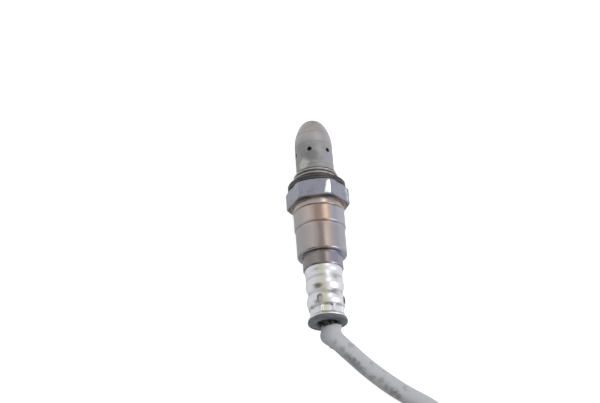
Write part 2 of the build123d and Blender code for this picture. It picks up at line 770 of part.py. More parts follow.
# Connector housing: an open shroud, a partition with four cavities and a rear pocket for the seal
with BuildPart() as connector_housing:
    extrude(plug_section(plug_front_x, plug_width, plug_height, plug_corner_radius),
            amount=plug_length - plug_rear_length)
    extrude(plug_section(plug_rear_x - plug_rear_length, plug_width - 2 * plug_rear_inset,
                         plug_height - 2 * plug_rear_inset, plug_corner_radius - plug_rear_inset),
            amount=plug_rear_length)
    extrude(plug_section(plug_front_x, plug_width - 2 * plug_wall, plug_height - 2 * plug_wall,
                         plug_corner_radius - plug_wall),
            amount=plug_mouth_depth, mode=Mode.SUBTRACT)
    extrude(plug_section(rear_seal_x, seal_width, seal_height, rear_seal_wall / 2),
            amount=rear_seal_length + rear_seal_setback, mode=Mode.SUBTRACT)
    with BuildSketch(Plane(origin=(partition_x, plug_y, plug_z), x_dir=(0, 1, 0), z_dir=(1, 0, 0))):
        with terminal_grid:
            Rectangle(cavity_size, cavity_size)
    extrude(amount=rear_seal_x - partition_x, mode=Mode.SUBTRACT)
    with BuildSketch(Plane.XY.offset(lock_bottom_z)):
        with Locations((lock_x, plug_y)):
            Rectangle(lock_thickness, lock_width, align=(Align.MIN, Align.CENTER))
    extrude(amount=plug_height, mode=Mode.SUBTRACT)
    with BuildSketch(Plane.XZ.offset(-plug_y + latch_width / 2).shift_origin((0, plug_y - latch_width / 2, 0))):
        with BuildLine():
            latch_x = plug_front_x + latch_setback
            Polyline((latch_x, plug_z + plug_height / 2 - plug_wall / 2),
                     (latch_x, plug_z + plug_height / 2),
                     (latch_x + latch_length, plug_z + plug_height / 2 + latch_height),
                     (latch_x + latch_length, plug_z + plug_height / 2 - plug_wall / 2), close=True)
        make_face()
    extrude(amount=-latch_width)
    with BuildSketch(Plane.XY.offset(plug_z + plug_height / 2 - plug_wall / 2)):
        with Locations((plug_front_x + guide_rib_length / 2, plug_y)):
            with GridLocations(0, latch_width + 3 * guide_rib_width, 1, 2):
                Rectangle(guide_rib_length, guide_rib_width)
    extrude(amount=guide_rib_height + plug_wall / 2)
connector_housing.part.label = "connector_housing"

# Connector pins: a blade in the mouth and a barrel in the cavity
with BuildPart() as connector_pins:
    with BuildSketch(Plane(origin=(partition_x, plug_y, plug_z), x_dir=(0, 1, 0), z_dir=(1, 0, 0))):
        with terminal_grid:
            Rectangle(barrel_size, barrel_size)
    extrude(amount=rear_seal_x - core_in_seal - partition_x)
    with BuildSketch(Plane(origin=(partition_x, plug_y, plug_z), x_dir=(0, 1, 0), z_dir=(-1, 0, 0))):
        with terminal_grid:
            Rectangle(blade_width, blade_thickness)
    extrude(amount=blade_length)
connector_pins.part.label = "connector_pins"

# Rear seal: ribbed rubber block round the four cores
with BuildPart() as rear_seal:
    band_count = 2 * rear_seal_rib_count - 1
    rib_length = rear_seal_length / band_count
    for step in range(band_count):
        shrink = 0 if step % 2 == 0 else 2 * rear_seal_rib
        extrude(plug_section(rear_seal_x + step * rib_length, seal_width - shrink, seal_height - shrink,
                             rear_seal_wall / 2), amount=rib_length)
    with BuildSketch(Plane(origin=(rear_seal_x, plug_y, plug_z), x_dir=(0, 1, 0), z_dir=(1, 0, 0))):
        with terminal_grid:
            Circle(core_radius)
    extrude(amount=rear_seal_length, mode=Mode.SUBTRACT)
rear_seal.part.label = "rear_seal"

# Terminal lock: a plate dropped into the housing over the barrels
with BuildPart() as terminal_lock:
    with BuildSketch(Plane.XY.offset(lock_bottom_z)):
        with Locations((lock_x, plug_y)):
            Rectangle(lock_thickness, lock_width, align=(Align.MIN, Align.CENTER))
    extrude(amount=plug_z + plug_height / 2 + lock_head - lock_bottom_z)
terminal_lock.part.label = "terminal_lock"

os.makedirs("parts", exist_ok=True)
for piece in (outer_guard, inner_guard, shell, seat_gasket, rear_casing, filter_cover, vent_filter, grommet,
              sensing_element, packing_washer, lower_insulator, talc_ring, ceramic_sleeve, crimp_ring,
              contact_holder, holder_clip, contact_springs, crimp_ferrules, inner_leads, lead_run,
              lead_coil, lead_tail, lead_tie, sleeve_band, connector_leads, connector_housing,
              connector_pins, rear_seal, terminal_lock):
    export_step(piece.part, f"parts/{piece.part.label}.step")
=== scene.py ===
"""Looks of an exhaust oxygen sensor: turned and crimped steel, a rubber grommet and a woven lead.

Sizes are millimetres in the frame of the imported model: the thread axis is Y with the tip at +Y, +Z is up,
and the origin lies in the plane of the gasket's sealing face. Meshes are written in metres.
The sensor lies on its gasket's rim and its lead on a floor at FLOOR_Z.
"""

import logging
import math
import random
from dataclasses import dataclass, field
from enum import Enum
from typing import Callable, Iterable, Sequence, Union

import bmesh
import bpy
import numpy as np
from mathutils import Matrix, Vector


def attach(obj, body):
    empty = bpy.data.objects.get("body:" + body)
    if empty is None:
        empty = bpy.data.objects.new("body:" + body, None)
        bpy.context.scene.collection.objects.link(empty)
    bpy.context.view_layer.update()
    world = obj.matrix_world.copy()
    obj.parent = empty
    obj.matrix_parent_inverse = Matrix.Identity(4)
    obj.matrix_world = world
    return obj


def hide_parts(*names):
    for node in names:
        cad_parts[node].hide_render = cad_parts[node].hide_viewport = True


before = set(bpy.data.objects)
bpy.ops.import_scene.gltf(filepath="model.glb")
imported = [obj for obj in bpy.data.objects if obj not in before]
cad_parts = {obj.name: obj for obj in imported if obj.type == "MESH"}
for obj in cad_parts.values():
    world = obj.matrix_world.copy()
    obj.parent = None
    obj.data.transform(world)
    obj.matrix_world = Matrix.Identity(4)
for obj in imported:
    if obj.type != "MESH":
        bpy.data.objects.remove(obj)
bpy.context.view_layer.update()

LOG = logging.getLogger("oxygen_sensor")
MM = 0.001
FLOOR_Z = -11.58
SEAM_Y = -19.4
SHOULDER_Y = -31.25
BODY = "root"
Material = bpy.types.Material
Mesh = bpy.types.Mesh
Object = bpy.types.Object
Node = bpy.types.Node
Owner = Union[Material, bpy.types.World]
Number = Union[float, "Signal"]
Point = tuple[float, float, float]
Colour = tuple[float, float, float]
AtAngle = Callable[[float], float]
Station = tuple[Union[float, AtAngle], Union[float, AtAngle]]
Pair = tuple[float, float]


def srgb(red: int, green: int, blue: int) -> Colour:
    """Turns a colour of 0 to 255 steps, as a picture shows it, into linear light.

    Args:
        red: step of the red part.
        green: step of the green part.
        blue: step of the blue part.

    Returns:
        The colour in linear light.
    """
    def linear(step: int) -> float:
        """Linear light of one step."""
        share = step / 255
        return share / 12.92 if share <= 0.04045 else ((share + 0.055) / 1.055) ** 2.4
    return linear(red), linear(green), linear(blue)


def smooth(low: float, high: float, value: float) -> float:
    """A soft step of value from 0 at low to 1 at high."""
    share = min(1.0, max(0.0, (value - low) / (high - low)))
    return share * share * (3 - 2 * share)


class Signal:
    """A socket that takes part in Python sums: each sum adds its Math node."""

    def __init__(self, bench: "Bench", socket: bpy.types.NodeSocket) -> None:
        """Wraps socket, whose new neighbours are made on bench."""
        self.bench = bench
        self.socket = socket

    def _math(self, operation: str, *values: Number) -> "Signal":
        """Adds one Math node of the given operation over values."""
        made = self.bench.node("ShaderNodeMath", {"operation": operation}, dict(enumerate(values)))
        return self.bench.signal(made)

    def __add__(self, other: Number) -> "Signal":
        """Sum."""
        return self._math("ADD", self, other)

    def __radd__(self, other: float) -> "Signal":
        """Sum with a number on the left."""
        return self._math("ADD", other, self)

    def __sub__(self, other: Number) -> "Signal":
        """Difference."""
        return self._math("SUBTRACT", self, other)

    def __rsub__(self, other: float) -> "Signal":
        """Difference with a number on the left."""
        return self._math("SUBTRACT", other, self)

    def __mul__(self, other: Number) -> "Signal":
        """Product."""
        return self._math("MULTIPLY", self, other)

    def __rmul__(self, other: float) -> "Signal":
        """Product with a number on the left."""
        return self._math("MULTIPLY", other, self)

    def __truediv__(self, other: Number) -> "Signal":
        """Quotient."""
        return self._math("DIVIDE", self, other)

    def power(self, exponent: float) -> "Signal":
        """The signal raised to a fixed power."""
        return self._math("POWER", self, exponent)

    def sine(self) -> "Signal":
        """Sine of the signal in radians."""
        return self._math("SINE", self)

    def most(self, other: Number) -> "Signal":
        """The higher of two signals."""
        return self._math("MAXIMUM", self, other)

    def angle_with(self, other: "Signal") -> "Signal":
        """Angle in radians of the direction whose rise is this signal and whose run is the other."""
        return self._math("ARCTAN2", self, other)

    def band(self, low: float, high: float, start: float = 0.0, end: float = 1.0) -> "Signal":
        """A soft step of the signal from start at low to end at high.

        Args:
            low: where the step starts.
            high: where it ends; it may be the lower one.
            start: value up to low.
            end: value from high on.

        Returns:
            The stepped signal.
        """
        inputs = {"Value": self, "From Min": low, "From Max": high, "To Min": start, "To Max": end}
        made = self.bench.node("ShaderNodeMapRange", {"interpolation_type": "SMOOTHSTEP"}, inputs)
        return self.bench.signal(made)

    def bump_of(self, centre: float, width: float) -> "Signal":
        """A soft hill that is 1 where the signal equals centre and 0 beyond width."""
        return self._math("ABSOLUTE", self - centre).band(0.0, width, 1.0, 0.0)


class Bench:
    """The node tree of one material or of the world, with a short way to add any node."""

    def __init__(self, owner: Owner) -> None:
        """Empties the owner's node tree.

        Args:
            owner: the material or the world.
        """
        self.owner = owner
        owner.use_nodes = True
        self.tree = owner.node_tree
        self.tree.nodes.clear()

    @classmethod
    def of(cls, name: str) -> "Bench":
        """A bench for a new material of the given name."""
        return cls(bpy.data.materials.new(name))

    def node(self, kind: str, settings: dict | None = None, inputs: dict | None = None) -> Node:
        """Adds a node.

        Args:
            kind: the node's type.
            settings: attributes of the node, or the stops of a ramp, which are set first.
            inputs: values or signals for its sockets, by name or index.

        Returns:
            The new node.
        """
        made = self.tree.nodes.new(kind)
        for key, value in (settings or {}).items():
            if key == "stops":
                self._fill_ramp(made.color_ramp, value)
            else:
                setattr(made, key, value)
        for key, value in (inputs or {}).items():
            socket = made.inputs[key]
            if isinstance(value, Signal):
                self.tree.links.new(value.socket, socket)
            elif isinstance(value, tuple) and len(value) == 3 and socket.type == "RGBA":
                socket.default_value = (*value, 1.0)
            else:
                socket.default_value = value
        return made

    @staticmethod
    def _fill_ramp(ramp: bpy.types.ColorRamp, stops: Sequence[tuple[float, Colour]]) -> None:
        """Writes the stops, each a place and a colour, into a ramp.

        Args:
            ramp: the ramp, which has two stops at first.
            stops: the stops in order.
        """
        while len(ramp.elements) < len(stops):
            ramp.elements.new(0.5)
        for element, (place, colour) in zip(ramp.elements, stops):
            element.position = place
            element.color = (*colour, 1.0)

    def signal(self, made: Node, output: Union[int, str] = 0) -> Signal:
        """The named output of a node as a signal."""
        return Signal(self, made.outputs[output])

    def place(self) -> Signal:
        """The surface point in the model's frame, in metres."""
        return self.signal(self.node("ShaderNodeTexCoord"), "Object")

    def axes(self) -> tuple[Signal, Signal, Signal]:
        """X, Y and Z of the surface point, in millimetres."""
        parts = self.node("ShaderNodeSeparateXYZ", None, {0: self.place()})
        return tuple(self.signal(parts, name) * (1 / MM) for name in "XYZ")

    def around(self) -> tuple[Signal, Signal]:
        """Height along the sensor's axis in millimetres, and angle round it in degrees, 90 on top."""
        x, y, z = self.axes()
        return y, z.angle_with(x) * (180 / math.pi)

    def radius(self) -> Signal:
        """Distance from the sensor's axis in millimetres."""
        x, _, z = self.axes()
        return (x * x + z * z).power(0.5)

    def noise(self, size: float, detail: float = 3.0, stretch: Point = (1, 1, 1),
              seed: float = 0.0) -> Signal:
        """Soft noise from 0 to 1 whose blotches are about size millimetres wide, stretched per axis.

        Args:
            size: width of a blotch in millimetres.
            detail: how many finer layers it has.
            stretch: how many times longer it is along X, Y and Z.
            seed: shift that makes it another noise.

        Returns:
            The noise.
        """
        scaled = self.node("ShaderNodeMapping", None,
                           {"Vector": self.place(), "Location": (seed, seed, seed),
                            "Scale": tuple(1 / (size * MM * part) for part in stretch)})
        made = self.node("ShaderNodeTexNoise", None,
                         {"Vector": self.signal(scaled), "Scale": 1.0, "Detail": detail})
        return self.signal(made, "Fac")

    def distance(self, spot: Point) -> Signal:
        """Distance in millimetres of the surface point from a spot given in millimetres.

        Args:
            spot: the spot.

        Returns:
            The distance.
        """
        made = self.node("ShaderNodeVectorMath", {"operation": "DISTANCE"},
                         {0: self.place(), 1: tuple(part * MM for part in spot)})
        return self.signal(made, "Value") * (1 / MM)

    def mix(self, share: Number, first: Union[Colour, Signal], second: Union[Colour, Signal]) -> Signal:
        """Colour first where share is 0 and second where it is 1.

        Args:
            share: how much of the second colour shows.
            first: colour at share 0.
            second: colour at share 1.

        Returns:
            The mixed colour.
        """
        made = self.node("ShaderNodeMix", {"data_type": "RGBA"},
                         {"Factor": share, 6: first, 7: second})
        return self.signal(made, 2)

    def ramp(self, value: Signal, stops: Sequence[tuple[float, Colour]]) -> Signal:
        """Colour of a ramp at value."""
        return self.signal(self.node("ShaderNodeValToRGB", {"stops": stops}, {"Fac": value}))

    def bump(self, height: Signal, depth: float, strength: float = 1.0) -> Signal:
        """Normal of a surface raised by height times depth millimetres."""
        inputs = {"Height": height, "Distance": depth * MM, "Strength": strength}
        return self.signal(self.node("ShaderNodeBump", None, inputs))

    def surface(self, **inputs: Union[Number, Colour]) -> Material:
        """Closes the material with one Principled shader whose sockets are named with underscores."""
        named = {key.replace("_", " "): value for key, value in inputs.items()}
        return self.close(self.node("ShaderNodeBsdfPrincipled", None, named))

    def close(self, shader: Node, kind: str = "ShaderNodeOutputMaterial") -> Owner:
        """Sends a shader to an output node of the given type and gives back the tree's owner."""
        self.node(kind, None, {0: self.signal(shader)})
        return self.owner


@dataclass(frozen=True)
class Patch:
    """A soft stain on a surface: where it is in millimetres, how far it reaches and how strong it is."""

    spot: Point
    reach: float
    strength: float = 1.0


def stained(bench: Bench, base: Signal, colour: Colour, patches: Iterable[Patch],
            rough_edge: Signal) -> Signal:
    """Mixes a colour over base inside each patch, with edges that follow rough_edge.

    Args:
        bench: the bench of the material.
        base: the colour below.
        colour: the stain's colour.
        patches: where the stains are.
        rough_edge: noise that the edges follow.

    Returns:
        The stained colour.
    """
    for patch in patches:
        near = bench.distance(patch.spot) + (rough_edge - 0.5) * (patch.reach * 2.0)
        base = bench.mix(near.band(patch.reach * 0.25, patch.reach, patch.strength, 0.0), base, colour)
    return base


@dataclass(frozen=True)
class GuardSteel:
    """Matt steel of the gas guard, greyed by heat, with paler and darker stains, three dark rings and a paler
    bluish right side that is painted light.
    """

    body: Colour = srgb(142, 141, 142)
    pale: Colour = srgb(190, 188, 182)
    dark: Colour = srgb(112, 111, 111)
    rosy: Colour = srgb(170, 158, 154)
    right: Colour = srgb(154, 153, 158)
    nose: Colour = srgb(172, 170, 169)
    blush: tuple[Patch, ...] = (Patch((1.0, 22.0, 7.0), 4.5, 0.45),)
    bare: tuple[Patch, ...] = (Patch((-4.5, 7.3, 6.0), 3.2, 0.75),)
    soot: tuple[Patch, ...] = (Patch((-1.2, 10.8, 7.2), 3.4, 0.7), Patch((-4.4, 12.5, 6.0), 2.6, 0.35),
                               Patch((1.6, 8.9, 7.2), 2.2, 0.4))
    rings: tuple[Pair, ...] = ((17.1, 0.35), (22.0, 0.3), (7.2, 0.3))

    def make(self) -> Material:
        """Builds the material.

        Returns:
            The material.
        """
        bench = Bench.of("guard_steel")
        height, angle = bench.around()
        cloud = bench.noise(5.0, 4.0, seed=1.3)
        fine = bench.noise(0.6, 5.0, seed=4.0)
        # Painted light: the right side paler and bluish, as the light falls from the right.
        colour = bench.mix(angle.band(96.0, 48.0), self.body, self.right)
        colour = bench.mix(height.band(14.5, 23.0), colour, self.nose)
        colour = bench.mix(cloud.band(0.45, 0.7, 0.0, 0.3), colour, self.dark)
        colour = stained(bench, colour, self.rosy, self.blush, fine)
        colour = stained(bench, colour, self.pale, self.bare, cloud)
        colour = stained(bench, colour, self.dark, self.soot, cloud)
        for ring, strength in self.rings:
            colour = bench.mix(height.bump_of(ring, 0.55) * cloud * (2 * strength), colour, self.dark)
        rough = 0.44 + fine * 0.16
        return bench.surface(Base_Color=colour, Metallic=0.75, Roughness=rough,
                             Normal=bench.bump(fine, 0.03, 0.5))


@dataclass(frozen=True)
class TurnedSteel:
    """Machined steel of the shell: slate flats, brighter thread, a worn corner with a painted glint, a dented
    corner with a painted bluish highlight, painted shade behind the hexagon and fine turning marks.
    """

    flats: Colour = srgb(138, 139, 150)
    thread: Colour = srgb(186, 184, 180)
    grime_and_shade: Colour = srgb(84, 82, 80)
    collar: Colour = srgb(162, 151, 146)
    wear_and_glint: Colour = srgb(244, 245, 245)
    bruise_and_highlight: Colour = srgb(205, 214, 238)

    def make(self) -> Material:
        """Builds the material.

        Returns:
            The material.
        """
        bench = Bench.of("shell_steel")
        height, angle = bench.around()
        radius = bench.radius()
        cloud = bench.noise(3.0, 3.0, seed=2.0)
        fine = bench.noise(0.35, 4.0, stretch=(1, 0.25, 1), seed=5.0)
        colour = bench.mix(cloud.band(0.5, 0.7, 0.0, 0.25), self.flats, self.grime_and_shade)
        # Painted shade: darker back chamfer of the hexagon and the band behind it.
        colour = bench.mix(radius.band(12.02, 11.7) * height.band(-8.9, -9.3), colour, self.grime_and_shade)
        colour = bench.mix(height.band(-8.7, -9.3) * 0.5, colour, self.grime_and_shade)
        spread = angle + height * 1.2 + (cloud - 0.5) * 5.0
        # Near-white corner: partly wear, mostly a painted glint where a lamp's highlight falls.
        edge = angle.band(65.7, 66.1) * spread.band(69.2, 65.6)
        edge = edge * height.band(-8.9, -8.1) * height.band(-2.9, -3.5)
        # Bluish-white spots on the dented corner: bare metal of the dent with a painted highlight.
        bruise = angle.bump_of(14.0, 5.5) * height.bump_of(-4.2, 2.0)
        bruise = bruise + angle.bump_of(12.5, 4.5) * height.bump_of(-7.2, 2.4)
        colour = bench.mix(edge, colour, self.wear_and_glint)
        colour = bench.mix(bruise * 0.8, colour, self.bruise_and_highlight)
        # The thread is darker towards its roots.
        thread_darker_at_roots = bench.mix(radius.band(8.85, 8.3, 0.0, 0.7), self.thread, self.grime_and_shade)
        colour = bench.mix(height.band(-0.4, 0.3), colour, thread_darker_at_roots)
        behind = height.band(-9.6, -10.1)
        colour = bench.mix(behind, colour, self.collar)
        # Painted shade on the collar just behind the hexagon.
        colour = bench.mix(behind * height.band(-11.4, -10.4, 0.0, 0.4), colour, self.grime_and_shade)
        rough = 0.2 + fine * 0.14 + height.band(-0.4, 0.3) * 0.16
        return bench.surface(Base_Color=colour, Metallic=1.0, Roughness=rough,
                             Normal=bench.bump(fine, 0.012, 0.5))


@dataclass(frozen=True)
class ScaledSteel:
    """Nearly black scaled sheet of the seat gasket."""

    body: Colour = srgb(63, 62, 65)
    brown: Colour = srgb(81, 75, 73)

    def make(self) -> Material:
        """Builds the material.

        Returns:
            The material.
        """
        bench = Bench.of("gasket_steel")
        cloud = bench.noise(2.2, 4.0, seed=3.0)
        colour = bench.mix(cloud.band(0.4, 0.65), self.body, self.brown)
        return bench.surface(Base_Color=colour, Metallic=0.55, Roughness=0.36 + cloud * 0.2,
                             Normal=bench.bump(cloud, 0.05, 0.4))


@dataclass(frozen=True)
class TintAndReflectionSteel:
    """Drawn stainless casing whose colour round the axis is part heat tint and part painted reflection: a
    straw band where a lamp's highlight falls, brown along its top, a bluish right side and a darker neck.
    """

    left: Colour = srgb(148, 146, 145)
    rose: Colour = srgb(180, 168, 163)
    brown: Colour = srgb(142, 124, 114)
    straw_tint_and_reflection: Colour = srgb(178, 158, 138)
    blue: Colour = srgb(160, 159, 170)
    far: Colour = srgb(146, 146, 152)
    dull: Colour = srgb(146, 142, 145)
    dusk: Colour = srgb(108, 96, 91)
    neck: Colour = srgb(98, 94, 94)
    neck_right_reflection: Colour = srgb(122, 124, 142)

    def make(self) -> Material:
        """Builds the material.

        Returns:
            The material.
        """
        bench = Bench.of("casing_steel")
        height, angle = bench.around()
        cloud = bench.noise(6.0, 3.0, stretch=(1, 3, 1), seed=7.0)
        drawn = bench.noise(0.5, 4.0, stretch=(1, 14, 1), seed=8.0)
        turned = angle + (cloud - 0.5) * 22 + height.band(SEAM_Y + 0.4, SEAM_Y - 2.6) * 4.0
        share = (turned + 180) / 360
        # Colours round the axis are part heat tint and part painted reflection; the straw stop sits where a
        # lamp's highlight falls.
        stops = [(0.0, self.far), (0.53, self.far), (0.60, self.blue), (0.675, self.blue),
                 (0.705, self.straw_tint_and_reflection), (0.735, self.brown), (0.775, self.brown), (0.815, self.rose),
                 (0.90, self.left), (1.0, self.far)]
        colour = bench.ramp(share, stops)
        barrel = height.band(SEAM_Y, SEAM_Y - 2.6)
        muted = bench.mix(0.45 * barrel, colour, self.dull)
        # Darker brown along the barrel's top: tint and painted reflection.
        muted = bench.mix(turned.bump_of(94.0, 20.0) * barrel * 0.55, muted, self.dusk)
        # Darker neck, with a bluish right side that is a painted reflection.
        neck = bench.mix(angle.band(84.0, 62.0), self.neck, self.neck_right_reflection)
        below = height.band(SHOULDER_Y + 0.85, SHOULDER_Y - 0.15)
        dulled = bench.mix(0.66 * below * cloud.band(0.25, 0.7, 1.0, 0.75), muted, neck)
        rough = 0.24 + drawn * 0.14
        return bench.surface(Base_Color=dulled, Metallic=1.0, Roughness=rough,
                             Normal=bench.bump(drawn, 0.01, 0.5))


@dataclass(frozen=True)
class BrightSteel:
    """Bright crimped steel of the cover, faintly yellowed along its top by tint and painted reflection, and
    darker in its groove bottoms by grime and painted shade.
    """

    body: Colour = srgb(206, 207, 211)
    straw_tint_and_reflection: Colour = srgb(190, 185, 167)
    groove_grime_and_shade: Colour = srgb(126, 126, 124)
    rings: tuple[Point, ...] = ((-41.2, 1.0, 0.5), (-47.2, 1.5, 0.6), (-52.8, 1.0, 0.65))

    def make(self) -> Material:
        """Builds the material.

        Returns:
            The material.
        """
        bench = Bench.of("cover_steel")
        height, angle = bench.around()
        cloud = bench.noise(3.0, 3.0, stretch=(1, 2, 1), seed=9.0)
        fine = bench.noise(0.4, 4.0, stretch=(1, 3, 1), seed=10.0)
        turned = angle + (cloud - 0.5) * 30
        # Straw along the top: part tint, part painted reflection.
        colour = bench.mix(turned.bump_of(98.0, 26.0) * 0.85, self.body, self.straw_tint_and_reflection)
        grime_and_shade: Number = 0.0
        # Darker groove bottoms and step into the crimp: grime and painted shade.
        for ring, width, strength in self.rings:
            grime_and_shade = height.bump_of(ring, width) * strength + grime_and_shade
        colour = bench.mix(grime_and_shade * cloud.band(0.2, 0.7, 0.4, 1.0), colour, self.groove_grime_and_shade)
        return bench.surface(Base_Color=colour, Metallic=1.0, Roughness=0.27 + fine * 0.16,
                             Normal=bench.bump(cloud, 0.05, 0.12))


@dataclass(frozen=True)
class Plain:
    """A simple finish with soft mottling: rubber, moulded plastic, fired clay or plated metal."""

    name: str
    body: Colour
    second: Colour
    roughness: float
    metallic: float = 0.0
    grain: float = 1.5
    relief: float = 0.02

    def make(self) -> Material:
        """Builds the material.

        Returns:
            The material.
        """
        bench = Bench.of(self.name)
        cloud = bench.noise(self.grain, 4.0, seed=11.0)
        fine = bench.noise(self.grain / 6, 3.0, seed=12.0)
        colour = bench.mix(cloud.band(0.35, 0.68), self.body, self.second)
        return bench.surface(Base_Color=colour, Metallic=self.metallic,
                             Roughness=self.roughness + (fine - 0.5) * 0.12,
                             Normal=bench.bump(fine, self.relief, 0.5))


@dataclass(frozen=True)
class FlangeRubber:
    """Slate rubber of the grommet: a paler bluish rim that is a painted highlight, and a recess darkened with
    painted shade.
    """

    body: Colour = srgb(100, 103, 108)
    rim: Colour = srgb(104, 108, 118)
    shade: Colour = srgb(56, 58, 62)

    def make(self) -> Material:
        """Builds the material.

        Returns:
            The material.
        """
        bench = Bench.of("grommet_rubber")
        height, _ = bench.around()
        radius = bench.radius()
        cloud = bench.noise(2.4, 4.0, seed=18.0)
        fine = bench.noise(0.3, 3.0, seed=19.0)
        colour = bench.mix(cloud.band(0.35, 0.7, 0.0, 0.5), self.body, self.shade)
        # Painted highlight on the flange's rounded rim.
        colour = bench.mix(height.band(-58.3, -57.6) * radius.band(7.0, 7.5) * 0.6, colour, self.rim)
        # Painted shade inside the recess round the lead.
        colour = bench.mix(radius.band(4.6, 3.9, 0.0, 0.5), colour, self.shade)
        return bench.surface(Base_Color=colour, Metallic=0.0, Roughness=0.5 + (fine - 0.5) * 0.12,
                             Specular_IOR_Level=0.22, Normal=bench.bump(fine, 0.02, 0.5))


@dataclass(frozen=True)
class WovenSleeve:
    """Grey glass-fibre braid with smudges and a painted darker underside: two sets of strands cross, worked
    out from the tube's own UVs.
    """

    body: Colour = srgb(184, 185, 189)
    shade: Colour = srgb(164, 165, 169)
    underside_shade: Colour = srgb(122, 123, 126)
    smudge_and_shade: Colour = srgb(108, 108, 105)
    strands: int = 16
    pitch: float = 9.0

    def make(self, smudge_and_shade_patches: Iterable[Patch]) -> Material:
        """Builds the material with the given smudges, some of which are painted shade.

        Args:
            smudge_and_shade_patches: stains on the braid, and patches of painted shade.

        Returns:
            The material.
        """
        bench = Bench.of("sleeve_weave")
        laid_out = bench.signal(bench.node("ShaderNodeTexCoord"), "UV")
        uv = bench.node("ShaderNodeSeparateXYZ", None, {0: laid_out})
        side = bench.signal(uv, "X")
        turn = side * (self.strands * 2 * math.pi)
        along = bench.signal(uv, "Y") * (2 * math.pi * self.strands / (self.pitch * MM))
        left = (turn + along).sine()
        right = (turn - along).sine()
        weave = left.most(right) * 0.5 + 0.5
        cloud = bench.noise(4.5, 4.0, seed=15.0)
        grit = bench.noise(1.5, 6.0, seed=17.0)
        fine = bench.noise(0.35, 4.0, seed=16.0)
        # Painted shade: darker along the lead's lower sides.
        underside_shade = side.band(0.02, 0.22, 0.62, 0.0) + side.band(0.75, 0.95, 0.0, 0.62)
        colour = bench.mix(underside_shade * grit.band(0.2, 0.6, 0.6, 1.0), self.body, self.underside_shade)
        colour = bench.mix(weave.band(0.35, 0.8, 0.5, 0.0), colour, self.shade)
        colour = bench.mix(cloud.band(0.5, 0.75, 0.0, 0.3) * grit.band(0.4, 0.6), colour, self.smudge_and_shade)
        colour = stained(bench, colour, self.smudge_and_shade, smudge_and_shade_patches, grit)
        return bench.surface(Base_Color=colour, Metallic=0.0, Roughness=0.82, Specular_IOR_Level=0.3,
                             Sheen_Weight=0.15, Normal=bench.bump(weave * 0.7 + fine * 0.3, 0.12, 0.5))


def new_object(name: str, mesh: Mesh, material: Material) -> Object:
    """Links a mesh object with one material and lets it ride on the body.

    Args:
        name: the object's name.
        mesh: its mesh.
        material: its one material.

    Returns:
        The new object.
    """
    made = bpy.data.objects.new(name, mesh)
    bpy.context.scene.collection.objects.link(made)
    mesh.materials.clear()
    mesh.materials.append(material)
    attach(made, BODY)
    return made


def baked(made: Object) -> None:
    """Applies all modifiers of an object to its mesh.

    Args:
        made: the object.
    """
    graph = bpy.context.evaluated_depsgraph_get()
    mesh = bpy.data.meshes.new_from_object(made.evaluated_get(graph), preserve_all_data_layers=True,
                                           depsgraph=graph)
    made.modifiers.clear()
    made.data = mesh


def shaded(mesh: Mesh, crease: float = 38.0) -> None:
    """Shades a mesh smooth, apart from edges that bend by more than crease degrees."""
    mesh.polygons.foreach_set("use_smooth", [True] * len(mesh.polygons))
    mesh.set_sharp_from_angle(angle=math.radians(crease))


def ring_value(part: Union[float, AtAngle], angle: float) -> float:
    """A radius or height that may depend on the angle in degrees."""
    return part(angle) if callable(part) else part


def even_angles(count: int, start: float = 0.0) -> list[float]:
    """Angles in degrees of equal steps round the axis."""
    return [start + 360 * step / count for step in range(count)]


def turned_mesh(name: str, stations: Sequence[Station], angles: Sequence[float]) -> Mesh:
    """Makes a closed ring of a profile carried round the sensor's axis.

    Args:
        name: the mesh's name.
        stations: the closed profile as radius and height, in millimetres, each a number or a rule of angle.
        angles: where the profile is set down, in degrees.

    Returns:
        The mesh, in metres, with outward normals.
    """
    points = []
    for radius, height in stations:
        for angle in angles:
            reach = ring_value(radius, angle) * MM
            turn = math.radians(angle)
            points.append((reach * math.cos(turn), ring_value(height, angle) * MM, reach * math.sin(turn)))
    count = len(angles)
    faces = []
    for row in range(len(stations)):
        here = row * count
        after = (row + 1) % len(stations) * count
        for step in range(count):
            beside = (step + 1) % count
            faces.append((here + step, here + beside, after + beside, after + step))
    mesh = bpy.data.meshes.new(name)
    mesh.from_pydata(points, [], faces)
    bm = bmesh.new()
    bm.from_mesh(mesh)
    bmesh.ops.remove_doubles(bm, verts=bm.verts, dist=1e-7)
    bmesh.ops.dissolve_degenerate(bm, edges=bm.edges, dist=1e-7)
    bmesh.ops.recalc_face_normals(bm, faces=bm.faces)
    bm.to_mesh(mesh)
    bm.free()
    return mesh


def softened(profile: Sequence[Pair], radius: float, steps: int = 3) -> list[Pair]:
    """Rounds every corner of a closed profile by an arc of about the given radius.

    Args:
        profile: the closed profile as pairs of radius and height.
        radius: how far an arc reaches along each side.
        steps: how many parts an arc has.

    Returns:
        The profile with its arcs.
    """
    made = []
    count = len(profile)
    for index in range(count):
        corner = Vector(profile[index])
        before = Vector(profile[index - 1]) - corner
        after = Vector(profile[(index + 1) % count]) - corner
        reach = min(radius, 0.45 * before.length, 0.45 * after.length)
        start = corner + before.normalized() * reach
        end = corner + after.normalized() * reach
        for step in range(steps + 1):
            share = step / steps
            point = start * (1 - share) ** 2 + corner * 2 * share * (1 - share) + end * share ** 2
            made.append((point.x, point.y))
    return made


def filled(start: Pair, end: Pair, steps: int) -> list[Pair]:
    """Points between two profile points, without either of them."""
    return [(start[0] + (end[0] - start[0]) * step / steps, start[1] + (end[1] - start[1]) * step / steps)
            for step in range(1, steps)]


